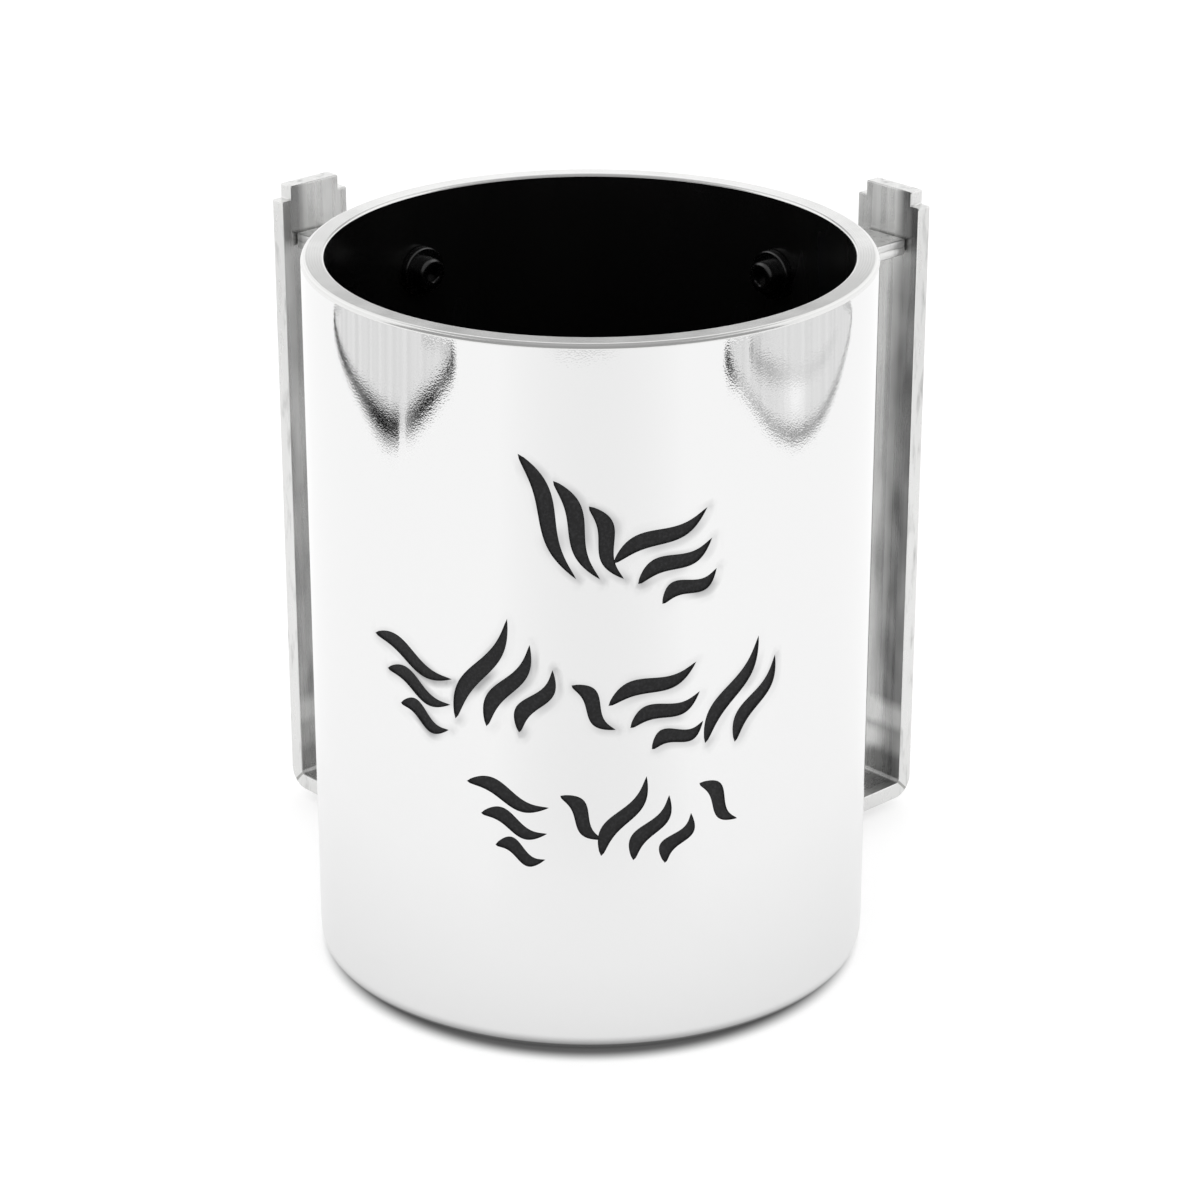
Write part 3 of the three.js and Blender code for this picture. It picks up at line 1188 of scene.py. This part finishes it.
def build_strips():
    """A folded strip for each handle, with broken edges and the dressed seam across its fold."""
    sizes = settings("handles")
    materials = [satin_aluminium(), sawn_aluminium(), dressed_seam()]
    for side, sign in SIDES.items():
        node = side + "_handle_bar"
        turn = sign * sizes.turn
        low, high = handle_box(node, turn)
        points, faces, indices = strip_cage(low, high)
        piece = new_piece(side + "_strip", points, faces, materials, indices)
        bevel = piece.modifiers.new("broken edges", "BEVEL")
        bevel.width = sizes.edge
        bevel.segments = BEVEL_STEPS
        bevel.limit_method = "ANGLE"
        bevel.angle_limit = BEVEL_ANGLE
        cutter = seam_cutter(low, high, materials)
        groove = piece.modifiers.new("seam", "BOOLEAN")
        groove.operation = "DIFFERENCE"
        groove.object = cutter
        groove.solver = "EXACT"
        weighted = piece.modifiers.new("even shading", "WEIGHTED_NORMAL")
        weighted.keep_sharp = True
        apply_modifiers(piece)
        bpy.data.objects.remove(cutter)
        # Painted dark reflections, strongest on the inner faces
        dark_reflection = piece.data.attributes.new("dark_reflection", "FLOAT", "POINT")
        levels = [dark_reflection_at(vertex.co, low, high, sign) for vertex in piece.data.vertices]
        dark_reflection.data.foreach_set("value", [DARK_REFLECTION_SHARES[side] * level for level in levels])
        place_on_handle(piece, turn, "satin_aluminium", node)


# Plates between the wall and the strips
PLATE_CORNER_STEPS = 4
PLATE_END_STEPS = 8
# How deep from a plate's narrow edge its faces count as that edge
NARROW_EDGE = 0.5 * MM
# Edges of plates, screws and washers that turn more sharply than this stay sharp
SHARP_ANGLE = math.radians(35)


def plate_section(half_width, half_height):
    """The plate's section: corners rounded, and a shallow drawn line along each narrow edge."""
    rounding = 0.25 * MM
    line_half = 0.22 * MM
    line_depth = 0.14 * MM
    quarter_points = []
    for step in range(PLATE_CORNER_STEPS + 1):
        angle = math.pi / 2 * step / PLATE_CORNER_STEPS
        quarter_points.append(
            (
                half_width - rounding + rounding * math.cos(angle),
                half_height - rounding + rounding * math.sin(angle),
            )
        )
    right = [(half_width, line_half)] + quarter_points
    section = [(half_width - line_depth, 0)] + right
    section += [(-x, z) for x, z in reversed(right)]
    section += [(-half_width + line_depth, 0)]
    section += [(-x, -z) for x, z in right]
    section += [(x, -z) for x, z in reversed(right)]
    return section


def build_plates():
    """A plate for each handle, set on the wall and rounded where it meets the strip."""
    sizes = settings("handles")
    bar_stock = sawn_aluminium("bar_stock_aluminium", dullness=0.42, dirtiness=0.25)
    materials = [bar_stock, sawn_aluminium()]
    for side, sign in SIDES.items():
        node = side + "_handle_plate"
        turn = sign * sizes.turn
        low, high = handle_box(node, turn)
        middle = (low.z + high.z) / 2
        half_width = high.x
        half_height = (high.z - low.z) / 2
        section = plate_section(half_width, half_height)
        count = len(section)
        end = high.y + sizes.fit_gap - sizes.hairline
        points = []
        for x, z in section:
            points.append((x, wall_distance(x), middle + z))
        for step in range(PLATE_END_STEPS + 1):
            angle = math.pi / 2 * step / PLATE_END_STEPS
            drawn_in = sizes.plate_end * (1 - math.cos(angle))
            y = end - sizes.plate_end + sizes.plate_end * math.sin(angle)
            for x, z in section:
                narrowed = x * (1 - drawn_in / half_width)
                lowered = z * (1 - drawn_in / half_height)
                points.append((narrowed, y, middle + lowered))
        rings = PLATE_END_STEPS + 2
        faces = ring_faces(rings, count)
        faces.append(list(range(count))[::-1])
        faces.append(list(range((rings - 1) * count, rings * count)))
        indices = []
        for face in faces:
            narrow = all(abs(points[index][0]) > half_width - NARROW_EDGE for index in face)
            indices.append(SAWN if narrow else SATIN)
        faces = [face[::-1] for face in faces]
        piece = new_piece(side + "_plate", points, faces, materials, indices)
        piece.data.set_sharp_from_angle(angle=SHARP_ANGLE)
        place_on_handle(piece, turn, "satin_aluminium", node)


# Screws and washers inside the cup
SCREW_SIDES = 72
ROUNDED_STEPS = 6
WASHER_EDGE = 0.35 * MM
# The socket's half width across its flats, its depth, the radius of its mouth and the slope there,
# and the tiny ring that closes its floor
SOCKET_FLAT = 1.25 * MM
SOCKET_DEPTH = 1.3 * MM
SOCKET_MOUTH = SOCKET_FLAT * 1.25
SOCKET_LEAD = 0.12 * MM
SOCKET_MIDDLE = 0.01 * MM
# The roundings of a screw's head, the radius of its shank and the bevel at its tip
DOME = 0.7 * MM
SHANK = 0.9 * MM
TIP = 0.3 * MM


def turned_piece(name, rings, middle, materials, closed):
    """A piece turned about its handle's outward line.

    Each ring is a radius, or a function of the angle, and how far out it lies. A closed piece
    joins its last ring to its first.
    """
    points = []
    for radius, out in rings:
        for step in range(SCREW_SIDES):
            angle = 2 * math.pi * step / SCREW_SIDES
            away = radius(angle) if callable(radius) else radius
            points.append((away * math.cos(angle), out, middle + away * math.sin(angle)))
    faces = ring_faces(len(rings), SCREW_SIDES)
    last = (len(rings) - 1) * SCREW_SIDES
    if closed:
        for step in range(SCREW_SIDES):
            after = (step + 1) % SCREW_SIDES
            faces.append((last + step, last + after, after, step))
    else:
        faces.append(list(range(SCREW_SIDES))[::-1])
        faces.append(list(range(last, last + SCREW_SIDES)))
    piece = new_piece(name, points, faces, materials)
    piece.data.set_sharp_from_angle(angle=SHARP_ANGLE)
    return piece


def rounded(radius, out, rounding, start, end):
    """Rings of a rounded edge about a ring at that radius and place."""
    rings = []
    for step in range(ROUNDED_STEPS + 1):
        angle = start + (end - start) * step / ROUNDED_STEPS
        rings.append((radius + rounding * math.cos(angle), out + rounding * math.sin(angle)))
    return rings


def hexagon(angle):
    """The radius of the screw's six-sided socket at an angle."""
    third = math.pi / 3
    return SOCKET_FLAT / math.cos((angle + third / 2) % third - third / 2)


def build_screws():
    """A washer and a socket screw for each handle."""
    sizes = settings("handles")
    hole = settings("cup").screw_hole
    steel = black_oxide_steel()
    quarter = math.pi / 2
    for side, sign in SIDES.items():
        turn = sign * sizes.turn
        low, high = handle_box(side + "_washer", turn)
        middle = (low.z + high.z) / 2
        radius = (high.z - low.z) / 2
        back = high.y + sizes.fit_gap - sizes.hairline
        edge = WASHER_EDGE
        washer_rings = [(hole, back), (hole, low.y)]
        washer_rings += rounded(radius - edge, low.y + edge, edge, -quarter, 0)
        washer_rings += [(radius, back)]
        washer = turned_piece(side + "_round_washer", washer_rings, middle, [steel], closed=True)
        place_on_handle(washer, turn, "black_steel", side + "_washer")

        screw_low, screw_high = handle_box(side + "_screw", turn)
        head_radius = (screw_high.z - screw_low.z) / 2
        head_back = low.y - sizes.hairline
        front = screw_low.y
        screw_rings = [(SOCKET_MIDDLE, front + SOCKET_DEPTH), (hexagon, front + SOCKET_DEPTH)]
        screw_rings += [(hexagon, front + SOCKET_LEAD), (SOCKET_MOUTH, front)]
        screw_rings += rounded(head_radius - DOME, front + DOME, DOME, -quarter, 0)
        screw_rings += [(head_radius, head_back), (SHANK, head_back)]
        screw_rings += [(SHANK, screw_high.y - TIP), (SHANK - TIP, screw_high.y)]
        screw = turned_piece(side + "_socket_screw", screw_rings, middle, [steel], closed=False)
        place_on_handle(screw, turn, "black_steel", side + "_screw")


# Stage
# What the polished wall mirrors is painted on the table in films that only reflections see: a pale
# side sheet left and right, with a dark seam of painted shade round its cut corner and along its
# inner edge, and softer folds of painted shade behind. Each place is X and Y in mm, on the middle
# of the seam, then half the seam's width there and how dark it is.
SEAMS = {
    "left_seam": (
        (-372, -185, 8, 0.3),
        (-340, -238, 10, 0.45),
        (-316, -262, 12, 0.7),
        (-303, -262, 16, 0.9),
        (-303, -250, 19, 1.0),
        (-308, -222, 17, 0.9),
        (-314, -192, 20, 1.0),
        (-319, -160, 23, 1.0),
        (-321, -133, 22, 0.85),
        (-321, -116, 20, 0.6),
        (-322, -112, 20, 0.15),
        (-323, -97, 20, 0.15),
        (-325, -93, 26, 0.95),
        (-330, -63, 28, 1.0),
        (-338, -32, 27, 1.0),
        (-345, -2, 23, 0.95),
        (-350, 31, 18, 0.85),
        (-353, 63, 15, 0.9),
        (-354, 95, 14, 1.0),
        (-356, 124, 14, 1.0),
        (-360, 144, 13, 1.0),
        (-367, 155, 10, 1.0),
    ),
    "left_back_fold": ((-367, 157, 7, 0.8), (-376, 152, 7, 0.5), (-394, 124, 8, 0.2)),
    "right_seam": (
        (377, -190, 7, 0.1),
        (347, -226, 8, 0.35),
        (333, -238, 9, 0.6),
        (323, -240, 17, 1.0),
        (321, -224, 17, 1.0),
        (324, -206, 11, 0.7),
        (326, -196, 9, 0.5),
        (328, -165, 9, 0.48),
        (328, -137, 10, 0.5),
        (327, -101, 11, 0.55),
        (326, -36, 13, 0.62),
        (327, -6, 13, 0.62),
        (328, 70, 11, 0.6),
        (329, 141, 8, 0.6),
        (330, 190, 6, 0.6),
        (336, 209, 6, 0.6),
    ),
    "right_back_fold": ((336, 210, 6, 0.5), (351, 203, 7, 0.4), (377, 171, 8, 0.2)),
    "right_inner_fold": (
        (402, -106, 12, 0.0),
        (385, -150, 14, 0.12),
        (369, -176, 15, 0.34),
        (361, -178, 16, 0.42),
        (361, -157, 18, 0.46),
        (366, -116, 19, 0.4),
        (372, -54, 15, 0.16),
        (371, 23, 13, 0.12),
        (369, 75, 12, 0.15),
        (366, 139, 10, 0.05),
    ),
}
# The seam that each sheet lies along, and the place on it, counted from 1, where the sheet starts
SHEETS = {"left_side_sheet": ("left_seam", 4), "right_side_sheet": ("right_seam", 4)}
# How many spots are put from each place on a seam to the next
SEAM_SPOTS = 4
# Across a seam: the share of its half width, and how dark it is there before it frays
SEAM_SECTION = ((-1, -1.0), (-0.5, 0.0), (0, 1.0), (0.5, 0.0), (1, -1.0))
# A sheet's width at its front end, how it grows with the way back, its greatest, and the places
# of its spots as shares of its width
SHEET_TIP = 12 * MM
SHEET_GROWTH = 0.8
SHEET_WIDTH = 190 * MM
SHEET_SHARES = (0, 0.03, 0.06, 0.09, 0.12, 0.15, 0.18, 0.22, 0.27, 0.33, 1)
# The gap in the right sheet through which the white table shows: its middle and its reach
BRIGHT_GAP = ((355 * MM, -31 * MM), (16 * MM, 34 * MM))
# Seam values that are dark all over and nowhere, however the seam frays
ALL_DARK, NO_SEAM = 2.0, -2
# The films lie over each other, at these heights above the table
SEAM_HEIGHT, SHEET_HEIGHT, SHADE_HEIGHT = 0.6 * MM, 0.5 * MM, 0.4 * MM

# The shade on the table: rings at these reaches in mm, their spots this many degrees apart, and
# how dark it is all over
SHADE_REACHES = (
    *(50.3, 65, 80, 95, 110, 140, 170, 230, 350),
    *(395, 405, 415, 425, 432, 440, 470, 520, 600),
)
SHADE_STEP = 4
SHADE = 0.062
# What is added beside the cup, from which reach in mm it fades and over how far
SHADE_BY_CUP, SHADE_BY_CUP_START, SHADE_BY_CUP_FADE = 0.05, 50, 60
# What is added in front: how much, from which reach in mm it grows and over how far, and the
# bearing of its middle and its half width in degrees
BAND, BAND_START, BAND_GROWTH = 0.08, 80, 60
BAND_BEARING, BAND_WIDTH = 3, 34
# The table's front edge: how far in front it starts, how wide it is and how dark
TABLE_FRONT = 408 * MM
TABLE_EDGE = 20 * MM
TABLE_EDGE_SHADE = 0.45
# Where the front edge and the shade have faded out, in mm, and over how far they fade
EDGE_END, EDGE_FADE = 440, 15
SHADE_END, SHADE_FADE = 600, 175

# Glowing cards seen only in reflections, painting the studio round the cup into the metal
# The studio in front: its distance, foot and head, the bearings of its panels and its grey level
STUDIO_DEPTH = 700 * MM
STUDIO_HEIGHTS = (170 * MM, 900 * MM)
STUDIO_BEARINGS = range(-80, 81, 10)
STUDIO_LEVEL = 0.42
# The cards above the cup, with their corners in mm, and their grey level
CARDS = {
    "card_over_back": ((-75, 165, 186), (75, 165, 186), (75, 165, 240), (-75, 165, 240)),
    "card_overhead": ((-500, -700, 900), (500, -700, 900), (500, 500, 900), (-500, 500, 900)),
}
CARD_LEVEL = 0.5
# The painted shadow under the cup: how far its middle is before the cup's, where it starts to fade
# and where it ends, from the cup's edge, and the share of the light that is left in it
CONTACT_FORWARD = 4.8 * MM
CONTACT_START, CONTACT_END = -4.4 * MM, 0.1 * MM
CONTACT_LIGHT = 0.12


def opal_acrylic():
    """Opal acrylic top of a light table: matt and lit from below, so shadows on it are faint."""
    material = new_material("opal_acrylic")
    tree = material.node_tree
    # Painted shadow round the cup's base, reaching furthest in front
    shade = add_node(
        tree,
        "ShaderNodeMapRange",
        {
            "Value": reach(tree, (0, -CONTACT_FORWARD, 0)),
            "From Min": CUP_RADIUS + CONTACT_START,
            "From Max": CUP_RADIUS + CONTACT_END,
            "To Min": 0.0,
            "To Max": 1.0,
        },
        interpolation_type="SMOOTHSTEP",
    )
    opal = settings("stage").floor_colour
    colour = add_node(
        tree,
        "ShaderNodeMix",
        {"Factor": shade, "A": linear(opal, CONTACT_LIGHT), "B": linear(opal)},
        data_type="RGBA",
    )
    shader = add_node(
        tree,
        "ShaderNodeBsdfPrincipled",
        {
            "Base Color": colour,
            "Roughness": 0.9,
            "Specular IOR Level": 0.0,
            "Emission Color": colour,
            "Emission Strength": 1.0,
        },
    )
    add_node(tree, "ShaderNodeOutputMaterial", {"Surface": shader})
    return material


def mirrored_shade_film():
    """Clear grey film that dims what shows through it, streaked, with ragged seams: painted shade
    in what the metal mirrors.
    """
    material = new_material("mirrored_shade_film")
    tree = material.node_tree
    place = add_node(tree, "ShaderNodeTexCoord").outputs["Object"]
    parts = add_node(tree, "ShaderNodeSeparateXYZ", {0: place})
    bearing = add_node(
        tree,
        "ShaderNodeMath",
        {0: parts.outputs["Y"], 1: parts.outputs["X"]},
        operation="ARCTAN2",
    )
    fan = add_node(
        tree, "ShaderNodeTexNoise", {"W": bearing, "Scale": 24, "Detail": 1}, noise_dimensions="1D"
    )
    sheet = add_node(tree, "ShaderNodeAttribute", attribute_name="sheet").outputs["Fac"]
    streak = add_node(tree, "ShaderNodeMapRange", {0: fan, 1: 0.3, 2: 0.7, 3: 0.18, 4: 0.26})
    veil = add_node(tree, "ShaderNodeMath", {0: sheet, 1: streak}, operation="MULTIPLY")
    ragged = grain(tree, (3 * MM, 3 * MM, 3 * MM), detail=2)
    seam = add_node(tree, "ShaderNodeAttribute", attribute_name="seam").outputs["Fac"]
    frayed = add_node(tree, "ShaderNodeMapRange", {0: ragged, 1: 0.3, 2: 0.7, 3: -0.25, 4: 0.25})
    line = add_node(tree, "ShaderNodeMath", {0: seam, 1: frayed}, operation="ADD")
    full = add_node(tree, "ShaderNodeMapRange", {0: line, 1: -0.35, 2: 0.75, 3: 0, 4: 1})
    strength = add_node(tree, "ShaderNodeAttribute", attribute_name="strength").outputs["Fac"]
    dark = add_node(tree, "ShaderNodeMath", {0: full, 1: strength}, operation="MULTIPLY")
    both = add_node(tree, "ShaderNodeMath", {0: veil, 1: dark}, operation="MAXIMUM")
    left = add_node(tree, "ShaderNodeMath", {0: 1.0, 1: both}, operation="SUBTRACT")
    film = add_node(tree, "ShaderNodeBsdfTransparent", {"Color": left})
    add_node(tree, "ShaderNodeOutputMaterial", {"Surface": film})
    return material


def dark_card(name, level):
    """Card that glows an even grey, which shows in reflections as a painted reflection of dim
    surroundings.
    """
    material = new_material(name)
    tree = material.node_tree
    glow = add_node(tree, "ShaderNodeEmission", {"Color": [level, level, level, 1]})
    add_node(tree, "ShaderNodeOutputMaterial", {"Surface": glow})
    return material


def only_mirrored(card):
    """Keeps a card out of sight and out of the light, so it shows in reflections alone."""
    card.visible_camera = False
    card.visible_diffuse = False
    card.visible_transmission = False
    card.visible_shadow = False


def film(name, points, faces, values):
    """A film on the table with its seam, sheet and strength given at each point."""
    card = new_piece(name, points, faces, [mirrored_shade_film()])
    for index, attribute in enumerate(("seam", "sheet", "strength")):
        layer = card.data.attributes.new(attribute, "FLOAT", "POINT")
        layer.data.foreach_set("value", [value[index] for value in values])
    only_mirrored(card)


def spread(stations):
    """The stations of a seam in metres, with more put evenly between them."""
    spots = []
    for first, second in zip(stations, stations[1:]):
        for step in range(SEAM_SPOTS):
            share = step / SEAM_SPOTS
            spots.append([a + (b - a) * share for a, b in zip(first, second)])
    spots.append(stations[-1])
    return [(Vector((x, y)) * MM, width * MM, strength) for x, y, width, strength in spots]


def build_side_sheets():
    """The dark seams and folds of painted shade, and the pale sheet on each side, as films seen
    only in reflections.
    """
    for name, stations in SEAMS.items():
        spots = spread(stations)
        out = -1 if name.startswith("left") else 1
        points, values = [], []
        for index, (spot, width, strength) in enumerate(spots):
            before, after = spots[max(index - 1, 0)][0], spots[min(index + 1, len(spots) - 1)][0]
            along = (after - before).normalized()
            beside = Vector((along.y, -along.x)) * out
            for away, seam in SEAM_SECTION:
                place = spot + beside * away * width
                points.append((place.x, place.y, SEAM_HEIGHT))
                values.append((seam, 0, strength))
        film(name, points, strip_faces(len(spots), len(SEAM_SECTION)), values)
    for name, (seam, corner) in SHEETS.items():
        spots = spread(SEAMS[seam][corner - 1 :])
        front = spots[0][0].y
        out = -1 if name.startswith("left") else 1
        points, values = [], []
        for spot, _, _ in spots:
            farthest = min(SHEET_TIP + SHEET_GROWTH * (spot.y - front), SHEET_WIDTH)
            for share in SHEET_SHARES:
                place = spot + Vector((out * farthest * share, 0))
                away = [(place[i] - BRIGHT_GAP[0][i]) / BRIGHT_GAP[1][i] for i in (0, 1)]
                veil = 1 - math.exp(-away[0] ** 2 - away[1] ** 2)
                points.append((place.x, place.y, SHEET_HEIGHT))
                values.append((NO_SEAM, veil, 0))
        film(name, points, strip_faces(len(spots), len(SHEET_SHARES)), values)


def strip_faces(rows, count):
    """Four-sided faces between neighbouring open rows of count points each."""
    corners = [row * count + column for row in range(rows - 1) for column in range(count - 1)]
    return [(corner, corner + 1, corner + count + 1, corner + count) for corner in corners]


def build_table_film():
    """A faint shade on the table round the cup, darker in front, and the table's front edge."""
    bearings = range(-180, 181, SHADE_STEP)
    points, values = [], []
    for reach_mm in SHADE_REACHES:
        for bearing in bearings:
            angle = math.radians(bearing)
            x, y = reach_mm * MM * math.sin(angle), -reach_mm * MM * math.cos(angle)
            by_cup = max(1 - (reach_mm - SHADE_BY_CUP_START) / SHADE_BY_CUP_FADE, 0)
            veil = SHADE + SHADE_BY_CUP * by_cup
            band = BAND * held((reach_mm - BAND_START) / BAND_GROWTH)
            band *= max(1 - ((bearing - BAND_BEARING) / BAND_WIDTH) ** 2, 0)
            edge = held((-y - TABLE_FRONT) / TABLE_EDGE) * TABLE_EDGE_SHADE
            edge *= held((EDGE_END - reach_mm) / EDGE_FADE)
            far = held((SHADE_END - reach_mm) / SHADE_FADE)
            points.append((x, y, SHADE_HEIGHT))
            values.append((ALL_DARK, 0, max((veil + band) * far, edge)))
    film("table_shade", points, strip_faces(len(SHADE_REACHES), len(bearings)), values)


def build_cards():
    """Dim studio behind the camera and grey cards over the cup, as glowing cards seen only in
    reflections: painted reflections in the turned edges.
    """
    studio = []
    for bearing in STUDIO_BEARINGS:
        angle = math.radians(bearing)
        x, y = STUDIO_DEPTH * math.sin(angle), -STUDIO_DEPTH * math.cos(angle)
        studio += [(x, y, height) for height in STUDIO_HEIGHTS]
    faces = strip_faces(len(STUDIO_BEARINGS), len(STUDIO_HEIGHTS))
    grey = dark_card("dark_studio", STUDIO_LEVEL)
    only_mirrored(new_piece("studio_behind_camera", studio, faces, [grey]))
    for name, corners in CARDS.items():
        points = [(x * MM, y * MM, z * MM) for x, y, z in corners]
        grey = dark_card("grey_" + name, CARD_LEVEL)
        only_mirrored(new_piece(name, points, [(0, 1, 2, 3)], [grey]))


def build_stage():
    """The floor, the white light, the cards that the metal mirrors, and the camera."""
    sizes = settings("stage")
    half = sizes.floor_side / 2
    corners = [(-half, -half, 0), (half, -half, 0), (half, half, 0), (-half, half, 0)]
    new_piece("floor", corners, [(0, 1, 2, 3)], [opal_acrylic()])
    build_side_sheets()
    build_table_film()
    build_cards()

    world = bpy.data.worlds.new("white studio")
    world.use_nodes = True
    sky = world.node_tree.nodes["Background"]
    sky.inputs["Color"].default_value = (1, 1, 1, 1)
    sky.inputs["Strength"].default_value = sizes.light
    scene = bpy.context.scene
    scene.world = world
    scene.view_settings.view_transform = "Standard"

    camera_data = bpy.data.cameras.new("camera")
    camera_data.sensor_width = 36
    camera_data.lens = sizes.lens
    camera = bpy.data.objects.new("camera", camera_data)
    camera.location = sizes.camera_place
    camera.rotation_euler = sizes.camera_turn
    scene.collection.objects.link(camera)
    scene.camera = camera


# Operators, one for each group of like pieces
class CupOperator(bpy.types.Operator):
    """Build the vessel with its strokes"""

    bl_idname = "washing_cup.build_cup"
    bl_label = "Build the vessel"

    def execute(self, context):
        build_cup()
        return {"FINISHED"}


class StripOperator(bpy.types.Operator):
    """Build the two folded handle strips"""

    bl_idname = "washing_cup.build_strips"
    bl_label = "Build the handle strips"

    def execute(self, context):
        build_strips()
        return {"FINISHED"}


class PlateOperator(bpy.types.Operator):
    """Build the plates that hold the handles' heads"""

    bl_idname = "washing_cup.build_plates"
    bl_label = "Build the plates"

    def execute(self, context):
        build_plates()
        return {"FINISHED"}


class ScrewOperator(bpy.types.Operator):
    """Build the screws and washers inside the cup"""

    bl_idname = "washing_cup.build_screws"
    bl_label = "Build the screws"

    def execute(self, context):
        build_screws()
        return {"FINISHED"}


class StageOperator(bpy.types.Operator):
    """Build the floor, the light, what the metal mirrors and the camera"""

    bl_idname = "washing_cup.build_stage"
    bl_label = "Build the stage"

    def execute(self, context):
        build_stage()
        return {"FINISHED"}


class CupPanel(bpy.types.Panel):
    """Lists the sizes, the colours and what can be built"""

    bl_idname = "VIEW3D_PT_washing_cup"
    bl_label = "Washing cup"
    bl_space_type = "VIEW_3D"
    bl_region_type = "UI"
    bl_category = "Washing cup"

    def draw(self, context):
        for group_name in GROUPS:
            group = settings(group_name)
            for name in group.bl_rna.properties.keys():
                if name not in ("rna_type", "name"):
                    self.layout.prop(group, name)
        for operator in OPERATORS:
            self.layout.operator(operator.bl_idname)


GROUPS = {
    "cup": CupSizes,
    "strokes": StrokeSizes,
    "handles": HandleSizes,
    "colours": FinishColours,
    "stage": StageSizes,
}
OPERATORS = (CupOperator, StripOperator, PlateOperator, ScrewOperator, StageOperator)


def register():
    for kind in (*GROUPS.values(), *OPERATORS, CupPanel):
        bpy.utils.register_class(kind)
    for name, kind in GROUPS.items():
        pointer = bpy.props.PointerProperty(type=kind)
        setattr(bpy.types.Scene, "washing_cup_" + name, pointer)


def unregister():
    for name in GROUPS:
        delattr(bpy.types.Scene, "washing_cup_" + name)
    for kind in (CupPanel, *reversed(OPERATORS), *reversed(GROUPS.values())):
        bpy.utils.unregister_class(kind)


def main():
    register()
    bpy.ops.washing_cup.build_stage()
    bpy.ops.washing_cup.build_cup()
    bpy.ops.washing_cup.build_strips()
    bpy.ops.washing_cup.build_plates()
    bpy.ops.washing_cup.build_screws()


if __name__ == "__main__":
    main()
